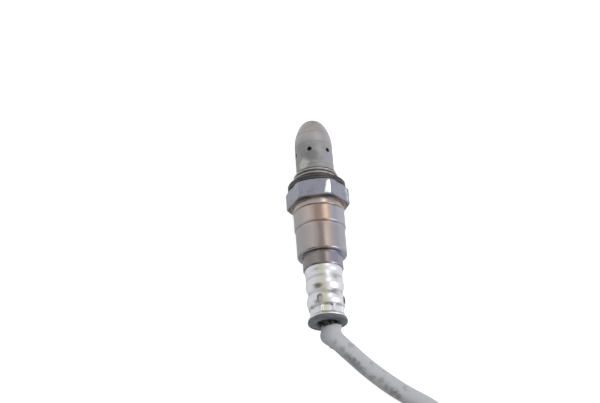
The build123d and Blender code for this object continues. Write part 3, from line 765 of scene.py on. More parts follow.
def drilled(made: Object, holes: Sequence[tuple[float, float, float]], reach: float,
            slot: float = 0.0) -> None:
    """Bores holes square to the axis through one wall of an object.

    Args:
        made: the object.
        holes: angle in degrees, height and radius in millimetres of each hole.
        reach: radius of the wall in millimetres, which the cutters straddle.
        slot: how far each hole is drawn out towards the lead, in millimetres.
    """
    bm = bmesh.new()
    for angle, height, radius in holes:
        turn = math.radians(angle)
        out = Vector((math.cos(turn), 0, math.sin(turn)))
        place = Matrix.Translation((out * reach + Vector((0, height, 0))) * MM)
        lean = out.to_track_quat("Z", "Y").to_matrix().to_4x4()
        cone = bmesh.ops.create_cone(bm, cap_ends=True, segments=28, radius1=radius * MM, radius2=radius * MM,
                                     depth=4.0 * MM, matrix=place @ lean)
        for vertex in cone["verts"]:
            if vertex.co.y < (height - 0.01) * MM:
                vertex.co.y -= slot * MM
    mesh = bpy.data.meshes.new("cutters")
    bm.to_mesh(mesh)
    bm.free()
    cutter = bpy.data.objects.new("cutters", mesh)
    bpy.context.scene.collection.objects.link(cutter)
    cut = made.modifiers.new("holes", "BOOLEAN")
    cut.operation = "DIFFERENCE"
    cut.solver = "EXACT"
    cut.object = cutter
    bpy.context.view_layer.update()
    baked(made)
    bpy.data.objects.remove(cutter)
    bpy.data.meshes.remove(mesh)


@dataclass
class GasGuard:
    """The outer gas guard: a drawn cup on a foot ring, bored with gas holes."""

    radius: float = 7.6
    wall: float = 0.5
    foot_y: float = 4.75
    foot_radius: float = 8.3
    foot_height: float = 0.5
    foot_edge: float = 0.12
    straight_y: float = 18.1
    shoulder: float = 18.0
    tip_y: float = 30.25
    tip_hole: float = 1.1
    holes: int = 6
    hole_phase: float = 104.0
    hole_radius: float = 0.95
    hole_y: float = 13.7
    columns: int = 168

    def outline(self, inset: float) -> list[Pair]:
        """Points from the straight side's top to the tip's hole, moved in by inset.

        Args:
            inset: how far inside the outer skin, in millimetres.

        Returns:
            The points as pairs of radius and height.
        """
        radius, shoulder, tip = self.radius - inset, self.shoulder - inset, self.tip_y - inset
        centre_x = radius - shoulder
        rise = tip - self.straight_y
        nose = ((rise - shoulder) ** 2 - centre_x ** 2) / (2 * (rise - shoulder))
        nose_radius = rise - nose
        meet = math.atan2(nose, -centre_x)
        points = []
        for step in range(31):
            turn = meet * step / 30
            points.append((centre_x + shoulder * math.cos(turn), self.straight_y + shoulder * math.sin(turn)))
        last = math.acos(self.tip_hole / nose_radius)
        nose_y = self.straight_y + nose
        for step in range(1, 15):
            turn = meet + (last - meet) * step / 14
            points.append((nose_radius * math.cos(turn), nose_y + nose_radius * math.sin(turn)))
        return points

    def build(self, finish: Material) -> Object:
        """Builds the guard and hides its CAD node.

        Args:
            finish: the material of the piece.

        Returns:
            The piece, which rides on the body.
        """
        inner = self.radius - self.wall
        rim, low, edge = self.foot_radius, self.foot_y, self.foot_edge
        top = low + self.foot_height
        foot = [(inner, low), (rim - edge, low), (rim, low + edge), (rim, top - edge), (rim - 0.14, top),
                (self.radius + 0.25, top), (self.radius + 0.08, low + 0.6), (self.radius, low + 0.85)]
        side = filled(foot[-1], (self.radius, self.straight_y), 40)
        skin = self.outline(0.0)
        lining = list(reversed(self.outline(self.wall)))
        back = filled((inner, self.straight_y), (inner, self.foot_y), 12)
        mesh = turned_mesh("outer_guard_skin", foot + side + skin + lining + back, even_angles(self.columns))
        made = new_object("outer_guard_skin", mesh, finish)
        angles = even_angles(self.holes, self.hole_phase)
        drilled(made, [(angle, self.hole_y, self.hole_radius) for angle in angles], self.radius)
        shaded(made.data)
        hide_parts("outer_guard")
        return made


@dataclass
class ThreadedShell:
    """The shell: spigot, real thread, hexagon with cone chamfers, collar and skirt, turned from one bar."""

    spigot_radius: float = 7.1
    spigot_top: float = 7.35
    thread_top: float = 4.75
    nose_chamfer: float = 0.6
    crest: float = 8.97
    root: float = 8.1
    pitch: float = 1.5
    crest_y: float = 3.78
    relief: float = 8.05
    hex_front: float = -2.0
    hex_back: float = -9.85
    half_flats: float = 11.0
    hex_phase: float = 5.74
    corner_clip: float = 12.68
    chamfer_tangent: float = 0.445
    roll_off: float = 0.04
    worn_fall: float = 0.34
    worn_start: float = 0.56
    collar_radius: float = 10.2
    collar_back: float = -12.4
    skirt_radius: float = 9.63
    skirt_back: float = -18.2
    bore: float = 6.3
    front_bore: float = 5.5
    seat: float = 1.2
    columns_per_side: int = 44

    def angles(self) -> list[float]:
        """Columns round the axis, closer together at the hexagon's corners.

        Returns:
            The angles in degrees.
        """
        near = [0.0, 0.35, 0.8, 1.4, 2.0, 2.6, 3.2, 3.8, 4.4, 5.0]
        last = self.columns_per_side - 1
        middle = [5.8 + 51.2 * step / last for step in range(self.columns_per_side)]
        side = near + middle + [57.9, 58.6, 59.2, 59.65]
        return [start + value for start in even_angles(6, self.hex_phase) for value in side]

    def flat(self, angle: float) -> float:
        """Radius of the hexagon at an angle: a flat whose edges roll off, more at the worn corner.

        Args:
            angle: angle round the axis in degrees.

        Returns:
            The radius in millimetres.
        """
        turn = (angle - self.hex_phase) % 60 - 30
        across = math.tan(math.radians(turn)) / math.tan(math.radians(30))
        fall = self.roll_off * max(0.0, (abs(across) - 0.8) / 0.2) ** 2
        if 60 < (angle - self.hex_phase) % 360 < 90:
            fall = self.worn_fall * max(0.0, (-across - self.worn_start) / (1 - self.worn_start)) ** 2
        clipped = self.corner_clip - 0.02 * abs(turn) ** 0.5
        return min((self.half_flats - fall) / math.cos(math.radians(turn)), clipped)

    def chamfer_drop(self, angle: float) -> float:
        """How far below the face the flat begins at an angle, where the cone has cut it."""
        return max(0.06, (self.flat(angle) - self.half_flats + 0.12) * self.chamfer_tangent)

    def nick(self, angle: float, height: float) -> float:
        """Depth of the small bruise on the right-hand corner.

        Args:
            angle: angle round the axis in degrees.
            height: height along the axis.

        Returns:
            The depth in millimetres.
        """
        turn = (angle - self.hex_phase + 180) % 360 - 180
        first = math.exp(-((turn - 3.2) / 1.3) ** 2 - ((height + 3.5) / 0.5) ** 2)
        second = math.exp(-((turn - 2.2) / 1.2) ** 2 - ((height + 6.2) / 0.7) ** 2)
        return 0.45 * first + 0.2 * second

    def thread(self, height: float) -> AtAngle:
        """Radius of the thread at a height, as a rule of the angle.

        Args:
            height: height along the axis.

        Returns:
            The rule of the angle.
        """
        def radius(angle: float) -> float:
            """Radius at an angle in degrees."""
            phase = ((height - self.crest_y) / self.pitch - (angle - 90) / 360) % 1.0
            ridge = abs(phase - 0.5) * 2
            depth = smooth(0.1, 0.9, ridge)
            fade = smooth(self.hex_front + 1.95, self.hex_front + 2.5, height)
            cone = self.crest - self.nose_chamfer + (self.thread_top - height)
            return min(self.root + (self.crest - self.root) * depth * fade, max(cone, self.root))
        return radius

    def side_radius(self, height_of: AtAngle) -> AtAngle:
        """Radius of the hexagon's side at the height that a rule gives."""
        return lambda angle: self.flat(angle) - self.nick(angle, height_of(angle))

    def hex_rows(self) -> list[Station]:
        """Stations of the hexagon from its front face to its back face.

        Returns:
            The stations.
        """
        rim = self.half_flats - 0.14
        inside = self.half_flats - 0.5
        rows: list[Station] = [(inside, self.hex_front), (rim, self.hex_front)]
        for share in (0.0, 0.012, 0.03, 0.07, 0.13, 0.2, 0.3, 0.42, 0.55, 0.68, 0.8, 0.9, 0.97, 0.988, 1.0):
            def height(angle: float, share: float = share) -> float:
                """Height at an angle in degrees of the row at one share of the side."""
                top = self.hex_front - self.chamfer_drop(angle)
                low = self.hex_back + self.chamfer_drop(angle)
                return top + (low - top) * share
            rows.append((self.side_radius(height), height))
        rows += [(rim, self.hex_back), (inside, self.hex_back)]
        return rows

    def build(self, finish: Material) -> Object:
        """Builds the shell and hides its CAD node.

        Args:
            finish: the material of the piece.

        Returns:
            The piece, which rides on the body.
        """
        nose: list[Station] = [(self.spigot_radius - 0.6, self.spigot_top),
                               (self.spigot_radius, self.spigot_top), (self.spigot_radius, self.thread_top),
                               (self.root, self.thread_top),
                               (self.crest - self.nose_chamfer - 0.1, self.thread_top)]
        rows = 54
        thread: list[Station] = []
        for step in range(rows + 1):
            height = self.thread_top - 0.03 - (self.thread_top - 0.08) * step / rows
            thread.append((self.thread(height), height))
        relief: list[Station] = [(self.relief, -0.1), (self.relief, self.hex_front + 0.05),
                                 (self.relief + 0.3, self.hex_front)]
        wide, back = self.collar_radius, self.collar_back
        collar: list[Station] = [(wide + 0.12, self.hex_back), (wide, self.hex_back - 0.12)]
        collar += filled((wide, self.hex_back - 0.12), (wide, back + 0.25), 6)
        collar += [(wide, back + 0.25), (wide - 0.05, back + 0.12), (wide - 0.3, back),
                   (self.skirt_radius, back), (self.skirt_radius, self.skirt_back),
                   (self.bore, self.skirt_back), (self.bore, self.seat), (self.front_bore, self.seat),
                   (self.front_bore, self.spigot_top)]
        mesh = turned_mesh("shell_body", nose + thread + relief + self.hex_rows() + collar, self.angles())
        made = new_object("shell_body", mesh, finish)
        shaded(mesh, 30.0)
        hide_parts("shell")
        return made


@dataclass
class SeatGasket:
    """The folded seat gasket, with the fine slit of its fold on the rim."""

    radius: float = 11.58
    inner: float = 8.2
    back: float = -2.0
    slit_depth: float = 0.22
    waviness: float = 0.03
    columns: int = 144

    def wavy(self, radius: float, height: float) -> Station:
        """A station whose radius swells and shrinks three times round the rim."""
        depth = self.waviness * (radius > 10)
        return (lambda angle: radius + depth * math.sin(math.radians(3 * angle + 40)), height)

    def build(self, finish: Material) -> Object:
        """Builds the gasket and hides its CAD node.

        Args:
            finish: the material of the piece.

        Returns:
            The piece, which rides on the body.
        """
        rim, mid, back = self.radius, self.back / 2, self.back
        slit = rim - self.slit_depth
        profile = [(self.inner, 0.0), (rim - 0.14, 0.0), (rim, -0.16), (rim, mid + 0.2), (slit, mid + 0.04),
                   (slit, mid - 0.04), (rim, mid - 0.2), (rim, back + 0.25), (rim - 0.2, back),
                   (self.inner, back)]
        stations = [self.wavy(min(radius, rim - self.waviness), height)
                    for radius, height in softened(profile, 0.14)]
        mesh = turned_mesh("gasket_ring", stations, even_angles(self.columns))
        made = new_object("gasket_ring", mesh, finish)
        shaded(mesh, 50.0)
        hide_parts("seat_gasket")
        return made


@dataclass
class RearCasing:
    """The drawn rear casing: front band, step at the seam, barrel, shoulder and neck."""

    front: float = -12.4
    radius: float = 10.1
    seam: float = SEAM_Y
    barrel: float = 9.72
    step: float = 0.55
    shoulder: float = SHOULDER_Y
    edge: float = 0.8
    neck: float = 7.82
    neck_back: float = -36.7
    wall: float = 0.47
    columns: int = 176

    def build(self, finish: Material) -> Object:
        """Builds the casing and hides its CAD node.

        Args:
            finish: the material of the piece.

        Returns:
            The piece, which rides on the body.
        """
        outer = [(self.radius - 0.32, self.front), (self.radius - 0.08, self.front - 0.1),
                 (self.radius, self.front - 0.3)]
        outer += filled(outer[-1], (self.radius, self.seam + 0.35), 12)
        outer += [(self.radius, self.seam + 0.35), (self.radius - 0.03, self.seam + 0.12),
                  (self.radius - 0.16, self.seam), (self.barrel - 0.1, self.seam - 0.16),
                  (self.barrel - 0.08, self.seam - 0.3), (self.barrel + 0.08, self.seam - 0.62),
                  (self.barrel + 0.05, self.seam - 1.1), (self.barrel, self.seam - 1.6)]
        outer += filled(outer[-1], (self.barrel, self.shoulder + self.edge), 16)
        for step in range(9):
            turn = math.radians(90 * step / 8)
            outer.append((self.barrel - self.edge + self.edge * math.cos(turn),
                          self.shoulder + self.edge - self.edge * math.sin(turn)))
        outer += [(self.neck + 0.3, self.shoulder), (self.neck + 0.06, self.shoulder - 0.08),
                  (self.neck, self.shoulder - 0.35)]
        outer += filled(outer[-1], (self.neck, self.neck_back + 0.1), 8)
        outer += [(self.neck, self.neck_back + 0.12), (self.neck - 0.1, self.neck_back),
                  (self.neck - self.wall + 0.05, self.neck_back)]
        wall = self.wall
        inner = [(self.neck - wall, self.neck_back + 0.1), (self.neck - wall, self.shoulder + wall),
                 (self.barrel - wall, self.shoulder + wall), (self.barrel - wall, self.seam),
                 (self.radius - wall, self.seam + wall), (self.radius - wall, self.front)]
        mesh = turned_mesh("casing_tube", outer + inner, even_angles(self.columns))
        made = new_object("casing_tube", mesh, finish)
        shaded(mesh, 50.0)
        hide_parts("rear_casing")
        return made


@dataclass
class CrimpedCover:
    """The bright cover: two rolled grooves, vents, and eight jaw marks above a flared lip.

    A groove is its depth and the heights where it starts, reaches its bottom, leaves it and ends.
    """

    radius: float = 7.35
    wall: float = 0.5
    front: float = -33.5
    back: float = -57.2
    first_groove: tuple[float, ...] = (0.27, -37.6, -39.6, -41.2, -43.3)
    second_groove: tuple[float, ...] = (0.73, -44.2, -46.6, -47.0, -49.5)
    crimp_radius: float = 5.92
    crimp_front: float = -53.0
    crimp_back: float = -55.7
    lip_radius: float = 7.45
    ridge: float = 0.42
    sides: int = 8
    side_phase: float = 43.5
    vents: int = 4
    vent_phase: float = 20.0
    vent_y: float = -50.0
    vent_radius: float = 1.12
    vent_slot: float = 0.7
    columns: int = 256

    def wave(self, height: float) -> float:
        """Radius of the cover before it is crimped, at a height.

        Args:
            height: height along the axis.

        Returns:
            The radius in millimetres.
        """
        radius = self.radius
        for depth, start, bottom, rise, end in (self.first_groove, self.second_groove):
            radius -= depth * (smooth(start, bottom, height) - smooth(rise, end, height))
        return radius

    def skin(self, height: float) -> AtAngle:
        """Radius of the outer skin at a height, as a rule of the angle.

        Args:
            height: height along the axis.

        Returns:
            The rule of the angle.
        """
        def radius(angle: float) -> float:
            """Radius at an angle in degrees."""
            turn = (angle - self.side_phase + 180 / self.sides) % (360 / self.sides) - 180 / self.sides
            flat = self.crimp_radius / math.cos(math.radians(turn))
            flat += self.ridge * smooth(15.0, 20.0, abs(turn))
            arch = 0.6 * smooth(8, 19, abs(turn))
            into_flat = smooth(self.crimp_front + 0.75 - arch, self.crimp_front - 0.15 - arch, height)
            shoulder = self.wave(height) - 0.42 * smooth(-50.6, -52.6, height)
            crimped = shoulder + (flat - shoulder) * into_flat
            flare = smooth(self.crimp_back + 0.35, self.back + 0.35, height)
            return crimped + (self.lip_radius - 0.05 - crimped) * flare
        return radius

    def lining(self, height: float) -> float:
        """Radius of the inner skin at a height.

        Args:
            height: height along the axis.

        Returns:
            The radius in millimetres.
        """
        bore = self.crimp_radius - self.wall
        into = smooth(self.crimp_front + 0.9, self.crimp_front, height)
        plain = self.wave(height) - self.wall
        crimped = plain + (bore - plain) * into
        return crimped + (self.lip_radius - self.wall - crimped) * smooth(self.crimp_back, self.back, height)

    def build(self, finish: Material) -> Object:
        """Builds the cover and hides its CAD node.

        Args:
            finish: the material of the piece.

        Returns:
            The piece, which rides on the body.
        """
        rows = 140
        outer = [(self.skin(height), height) for height in np.linspace(-36.0, self.back + 0.12, rows)]
        lip = [(self.lip_radius - 0.12, self.back), (self.lip_radius - self.wall, self.back)]
        inner = [(self.lining(height), height) for height in np.linspace(self.back + 0.1, -36.0, 70)]
        hidden = [(self.radius - self.wall, self.front), (self.radius, self.front)]
        mesh = turned_mesh("cover_skin", outer + lip + inner + hidden, even_angles(self.columns))
        made = new_object("cover_skin", mesh, finish)
        angles = even_angles(self.vents, self.vent_phase)
        vents = [(angle, self.vent_y, self.vent_radius) for angle in angles]
        drilled(made, vents, self.radius, self.vent_slot)
        shaded(made.data, 42.0)
        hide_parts("filter_cover")
        return made


@dataclass
class Grommet:
    """The rubber grommet: its body in the cover, a rounded flange and the recess round the lead."""

    core: float = 0.4
    body: float = 5.42
    front: float = -44.4
    body_back: float = -55.7
    flange_front: float = -57.2
    back: float = -58.8
    flange: float = 7.62
    recess: float = 3.85
    floor: float = -56.4
    columns: int = 120

    def build(self, finish: Material) -> Object:
        """Builds the grommet and hides its CAD node.

        Args:
            finish: the material of the piece.

        Returns:
            The piece, which rides on the body.
        """
        rim, start, back, hole = self.flange, self.flange_front, self.back, self.recess
        profile = [(self.core, self.front), (self.body, self.front), (self.body, self.body_back),
                   (6.9, start - 0.02), (rim - 0.3, start - 0.05), (rim, start - 0.4),
                   (rim - 0.02, back + 0.45), (rim - 0.35, back + 0.1), (rim - 1.1, back + 0.02),
                   (rim - 1.9, back + 0.1),
                   (hole + 0.95, back + 0.12), (hole + 0.4, back + 0.4), (hole + 0.1, back + 0.85),
                   (hole, back + 1.4), (hole, self.floor), (self.core, self.floor)]
        mesh = turned_mesh("grommet_rubber", softened(profile, 0.2), even_angles(self.columns))
        made = new_object("grommet_rubber", mesh, finish)
        shaded(mesh, 50.0)
        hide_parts("grommet")
        return made


@dataclass
class SleevedLead:
    """The woven lead: seen run, put-away coil of two turns and the tail that lies on the coil."""

    diameter: float = 6.8
    floor: float = FLOOR_Z
    start_y: float = -56.4
    coil_centre: Pair = (10.7, -149.4)
    outer_lane: float = 38.0
    lane_step: float = 7.0
    entry_length: float = 24.0
    turns: float = 1.917
    points_per_turn: int = 16
    columns: int = 36
    sleeve_start: float = 3.7
    end_shift: float = 0.9
    fold_height: float = 1.6
    core_offset: float = 1.0
    core_radius: float = 0.8
    fibres: int = 60
    fibre_radius: float = 0.05
    smudge_and_shade_patches: tuple[Patch, ...] = (
        Patch((4.6, -69.3, 0.4), 1.7, 0.45), Patch((6.2, -71.4, -0.9), 2.1, 0.6),
        Patch((7.6, -72.7, -1.6), 2.2, 0.6), Patch((9.2, -74.1, -2.4), 2.0, 0.65),
        Patch((10.6, -75.6, -3.1), 1.8, 0.6), Patch((8.6, -67.5, -0.3), 1.4, 0.35),
        Patch((12.0, -77.1, -3.9), 1.9, 0.5), Patch((14.8, -79.4, -4.5), 1.8, 0.45),
        Patch((15.1, -74.3, -2.9), 1.2, 0.3), Patch((18.2, -80.9, -4.2), 2.1, 0.45),
        Patch((19.9, -83.3, -5.1), 2.0, 0.55), Patch((21.6, -84.9, -5.6), 2.4, 0.65),
        Patch((23.6, -86.5, -5.9), 2.4, 0.65), Patch((26.6, -84.2, -4.7), 1.5, 0.3),
        Patch((2.0, -66.8, 1.6), 1.2, 0.35), Patch((7.5, -67.7, 0.4), 1.5, 0.3),
        # The last three patches are painted shade on and under the fold at the lead's left.
        Patch((-2.9, -66.2, -1.6), 2.0, 0.25), Patch((-0.3, -69.4, -3.4), 2.6, 0.3),
        Patch((-1.4, -66.6, 1.0), 1.1, 0.25))
    carried: tuple[str, ...] = ("lead_tie", "sleeve_band", "connector_leads", "connector_housing",
                                "connector_pins", "rear_seal", "terminal_lock")

    @property
    def low(self) -> float:
        """Height of the lead's middle where it lies on the floor."""
        return self.floor + self.diameter / 2

    def run(self) -> list[Point]:
        """Route points of the seen run, as in the part's source.

        Returns:
            The points in millimetres.
        """
        low = self.low
        return [(0.0, self.start_y, 0.0), (0.0, -60.6, 0.0), (2.0, -64.5, -0.9), (6.7, -68.6, -2.9),
                (13.8, -75.2, -6.3), (25.4, -84.7, low), (37.3, -92.0, low), (44.75, -101.2, low),
                (self.coil_centre[0] + self.outer_lane, -112.4, low)]

    def coil_point(self, angle: float, reach: float, lift: float) -> Point:
        """A point by its angle round the coil, its distance from the coil's middle and its lift.

        Args:
            angle: angle round the coil in degrees.
            reach: distance from the coil's middle.
            lift: height above the lead that lies on the floor.

        Returns:
            The point in millimetres.
        """
        turn = math.radians(angle)
        return (self.coil_centre[0] + reach * math.cos(turn), self.coil_centre[1] + reach * math.sin(turn),
                self.low + lift)

    def coil(self) -> list[Point]:
        """Route points of the coil's turns, worked out by a loop, one lane inside the other.

        Returns:
            The points in millimetres.
        """
        points = [(self.coil_centre[0] + self.outer_lane, self.coil_centre[1] + self.entry_length, self.low)]
        step = 360 / self.points_per_turn
        swell = 1 / math.cos(math.radians(step / 2))
        for index in range(round(self.turns * self.points_per_turn)):
            wound = (index + 0.5) * step
            lane = self.outer_lane - self.lane_step * smooth(325, 395, wound)
            points.append(self.coil_point(-wound, lane * swell, 0.0))
        return points

    def tail(self) -> list[Point]:
        """Route points of the tail, as in the part's source.

        Returns:
            The points in millimetres.
        """
        stations = [(14.0, 31.3, 1.0), (-3.0, 32.4, 3.6), (-20.0, 33.8, 6.0), (-37.0, 34.9, 7.0),
                    (-54.0, 35.6, 7.3), (-74.0, 37.6, 8.6)]
        return [self.coil_point(*station) for station in stations]

    def line(self) -> list[Vector]:
        """Points read from the smooth curve that has the route's points as its controls.

        Returns:
            The points in metres.
        """
        route = self.run() + self.coil() + self.tail()
        curve = bpy.data.curves.new("lead_line", "CURVE")
        curve.dimensions = "3D"
        spline = curve.splines.new("NURBS")
        spline.points.add(len(route) - 1)
        for point, place in zip(spline.points, route):
            point.co = (*(part * MM for part in place), 1.0)
        spline.order_u = 3
        spline.use_endpoint_u = True
        spline.resolution_u = 14
        made = bpy.data.objects.new("lead_line", curve)
        bpy.context.scene.collection.objects.link(made)
        mesh = bpy.data.meshes.new_from_object(made)
        points = [vertex.co.copy() for vertex in mesh.vertices]
        bpy.data.objects.remove(made)
        bpy.data.meshes.remove(mesh)
        bpy.data.curves.remove(curve)
        return points

    def relief(self, along: float, turn: float) -> float:
        """How far the sleeve's surface stands off round, in millimetres.

        Args:
            along: length along the lead from the grommet.
            turn: angle round the lead in degrees, 0 on its left side and 90 on top.

        Returns:
            The stand-off, which is negative in a crease.
        """
        turn = (turn + 180) % 360 - 180
        left = math.exp(-(turn / 52) ** 2)
        fold = self.fold_height * math.exp(-((along - 6.1) / 2.2) ** 2) * left
        flare = 0.6 * math.exp(-((along - 4.4) / 1.6) ** 2) * math.exp(-((abs(turn) - 180) / 50) ** 2)
        crease = -0.22 * math.exp(-((turn - 42 + 3 * (along - 7)) / 9) ** 2)
        crease *= smooth(4.6, 5.6, along) * smooth(10.0, 8.6, along)
        nub = 0.34 * math.exp(-((along - 9.7) / 0.45) ** 2) * math.exp(-((turn + 4) / 20) ** 2)
        buckle = 0.12 * math.exp(-((along - 11.5) / 1.2) ** 2) * left
        waves = 0.05 * math.sin(along / 5.3 + 1.0) * math.cos(math.radians(2 * turn))
        return fold + flare + crease + nub - buckle + waves

    def ragged(self, turn: float) -> float:
        """How far the sleeve's cut end reaches beyond its mean at an angle round the lead.

        Args:
            turn: angle round the lead in degrees.

        Returns:
            The reach in millimetres.
        """
        turn = (turn + 180) % 360 - 180
        flap = 1.15 * math.exp(-((turn - 8) / 17) ** 2)
        slope = 0.3 * math.cos(math.radians(turn - 90))
        teeth = 0.1 * math.sin(math.radians(7 * turn)) + 0.07 * math.sin(math.radians(17 * turn + 50))
        return flap + slope + teeth

    def build(self, finish: Material, cores: Material) -> list[Object]:
        """Builds the sleeve as one tube along the lead's line, its frayed end and the four cores.

        Args:
            finish: material of the sleeve.
            cores: material of the four cores.

        Returns:
            The sleeve and the cores.
        """
        guide = Guide(self.line())
        tube = Tube("lead_sleeve", self.columns)
        end = self.sleeve_start
        rows = [(3.4, 0.3), (3.4, 0.78), (0.5, 0.8), (0.12, 0.84), (0.0, 0.9), (0.06, 0.96), (0.3, 1.0)]
        rows += [(0.45 * step, 1.0) for step in range(2, int((guide.length - end) / 0.45))]
        rows.append((guide.length - end, 1.0))
        for past, share in rows:
            fade = smooth(7.0, 0.0, past)
            ring = []
            for step in range(self.columns):
                turn = 360 * step / self.columns
                along = min(guide.length, end + past - self.ragged(turn) * fade)
                centre, left, rise = guide.frame(along)
                out = left * math.cos(math.radians(turn)) + rise * math.sin(math.radians(turn))
                reach = (self.diameter / 2) * share + self.relief(along, turn) * (share > 0.95)
                place = centre + out * reach + Vector((self.end_shift * smooth(6.0, 0.5, past), 0, 0))
                ring.append(Vector((place.x, place.y, max(place.z, self.floor))))
            tube.ring(ring, end + past)
        tube.close()
        self.fray(tube, guide)
        made = new_object("lead_sleeve", tube.mesh(), finish)
        shaded(made.data, 60.0)
        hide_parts("lead_run", "lead_coil", "lead_tail")
        LOG.info("lead length %.1f mm", guide.length)
        inner = self.exit_cores(guide, cores)
        [tuple(point * MM) for point in guide.points]
        return [made, inner]

    def fray(self, tube: "Tube", guide: "Guide") -> None:
        """Adds the loose fibres at the sleeve's cut end to its tube.

        Args:
            tube: the sleeve's mesh so far.
            guide: the lead's line.
        """
        chance = random.Random(7)
        for _ in range(self.fibres):
            turn = chance.uniform(0, 360)
            centre, left, rise = guide.frame(self.sleeve_start + 0.1 - self.ragged(turn))
            out = left * math.cos(math.radians(turn)) + rise * math.sin(math.radians(turn))
            ahead = left.cross(rise)
            root = centre + out * (self.diameter / 2 - 0.25) + Vector((self.end_shift, 0, 0))
            lean = (out * chance.uniform(0.1, 0.9) + ahead * chance.uniform(0.3, 1.1)
                    + Vector((chance.uniform(-0.4, 0.4), 0, chance.uniform(-0.4, 0.4))))
            reach = chance.uniform(0.35, 0.95)
            bend = Vector((chance.uniform(-0.25, 0.25), chance.uniform(-0.2, 0.1),
                           chance.uniform(-0.25, 0.25)))
            middle = root + lean * reach * 0.5 + bend * reach * 0.5
            tip = root + lean * reach + bend * reach
            tube.thread([root, middle, tip], self.fibre_radius, 5, self.sleeve_start)

    def exit_cores(self, guide: "Guide", finish: Material) -> Object:
        """Builds the four cores that cross the shadow between the grommet and the sleeve's end.

        Args:
            guide: the lead's line.
            finish: material of the cores.

        Returns:
            The cores as one object.
        """
        tube = Tube("exit_cores", 12)
        centre, left, rise = guide.frame(self.sleeve_start + 3.0)
        middle = centre + Vector((self.end_shift * 0.7, 0, 0))
        for x_side in (-1, 1):
            for z_side in (-1, 1):
                start = Vector((x_side * self.core_offset, self.start_y - 0.02, z_side * self.core_offset))
                stop = middle - left * x_side * self.core_offset + rise * z_side * self.core_offset
                bend = (start + stop) / 2 + Vector((0, 0, 0.1 * z_side))
                tube.thread([start, start.lerp(bend, 0.6), bend, stop], self.core_radius, 12, 0.0)
        made = new_object("exit_cores", tube.mesh(), finish)
        shaded(made.data, 50.0)
        return made


class Guide:
    """The lead's line with a place and two cross directions at any length along it, in millimetres."""

    def __init__(self, line: Sequence[Vector]) -> None:
        """Keeps points of line, in metres, that are at least half a millimetre apart.

        Args:
            line: the points of the line.
        """
        kept = [line[0] / MM]
        for point in line[1:]:
            if (point / MM - kept[-1]).length > 0.5:
                kept.append(point / MM)
        self.points = kept
        steps = [(b - a).length for a, b in zip(kept, kept[1:])]
        self.lengths = np.concatenate([[0.0], np.cumsum(steps)])
        self.length = float(self.lengths[-1])
        before, after = kept[:1] + kept[:-1], kept[1:] + kept[-1:]
        headings = [(b - a).normalized() for a, b in zip(before, after)]
        self.table = np.array([[*point, *heading] for point, heading in zip(kept, headings)])

    def frame(self, along: float) -> tuple[Vector, Vector, Vector]:
        """Middle of the lead, its left side and its upper side at a length along it.

        Args:
            along: length along the lead.

        Returns:
            The middle and the two unit directions.
        """
        row = [float(np.interp(along, self.lengths, self.table[:, column])) for column in range(6)]
        heading = Vector(row[3:]).normalized()
        left = heading.cross(Vector((0, 0, 1))).normalized()
        return Vector(row[:3]), left, left.cross(heading).normalized()


class Tube:
    """Gathers rings and fine threads into one closed mesh with a length along the tube in its UVs."""

    def __init__(self, name: str, columns: int) -> None:
        """Starts an empty mesh whose main rings have the given number of columns.

        Args:
            name: the mesh's name.
            columns: points in each main ring.
        """
        self.name = name
        self.columns = columns
        self.points: list[Vector] = []
        self.marks: list[Pair] = []
        self.faces: list[tuple[int, ...]] = []
        self.rings = 0

    def ring(self, points: Sequence[Vector], along: float) -> None:
        """Adds the next ring of the main tube.

        Args:
            points: the ring's points in millimetres.
            along: its length along the tube.
        """
        base = len(self.points)
        self.points += points
        self.marks += [(step / self.columns, along * MM) for step in range(self.columns)]
        if self.rings:
            for step in range(self.columns):
                beside = (step + 1) % self.columns
                self.faces.append((base - self.columns + step, base - self.columns + beside,
                                   base + beside, base + step))
        self.rings += 1

    def close(self) -> None:
        """Closes both ends of the main tube."""
        last = (self.rings - 1) * self.columns
        self.faces.append(tuple(reversed(range(self.columns))))
        self.faces.append(tuple(range(last, last + self.columns)))

    def thread(self, line: Sequence[Vector], radius: float, columns: int, along: float) -> None:
        """Adds a thin closed tube along a few points.

        Args:
            line: the thread's middle points.
            radius: its radius.
            columns: points round it.
            along: length along the tube that its UVs tell.
        """
        base = len(self.points)
        for index, point in enumerate(line):
            ahead = (line[min(index + 1, len(line) - 1)] - line[max(index - 1, 0)]).normalized()
            side = ahead.orthogonal().normalized()
            other = ahead.cross(side)
            for step in range(columns):
                turn = 2 * math.pi * step / columns
                self.points.append(point + (side * math.cos(turn) + other * math.sin(turn)) * radius)
                self.marks.append((step / columns, along * MM))
        for row in range(len(line) - 1):
            for step in range(columns):
                beside = (step + 1) % columns
                self.faces.append((base + row * columns + step, base + row * columns + beside,
                                   base + (row + 1) * columns + beside, base + (row + 1) * columns + step))
        last = base + (len(line) - 1) * columns
        self.faces.append(tuple(reversed(range(base, base + columns))))
        self.faces.append(tuple(range(last, last + columns)))

    def mesh(self) -> Mesh:
        """The gathered mesh, in metres, with outward normals.

        Returns:
            The mesh.
        """
        made = bpy.data.meshes.new(self.name)
        made.from_pydata([point * MM for point in self.points], [], self.faces)
        layer = made.uv_layers.new(name="along")
        for face in made.polygons:
            across = [self.marks[vertex][0] for vertex in face.vertices]
            wraps = max(across) - min(across) > 0.5
            for loop_index, vertex, turn in zip(face.loop_indices, face.vertices, across):
                wrapped = turn + 1.0 if wraps and turn < 0.5 else turn
                layer.data[loop_index].uv = (wrapped, self.marks[vertex][1])
        bm = bmesh.new()
        bm.from_mesh(made)
        bmesh.ops.recalc_face_normals(bm, faces=bm.faces)
        bm.to_mesh(made)
        bm.free()
        return made


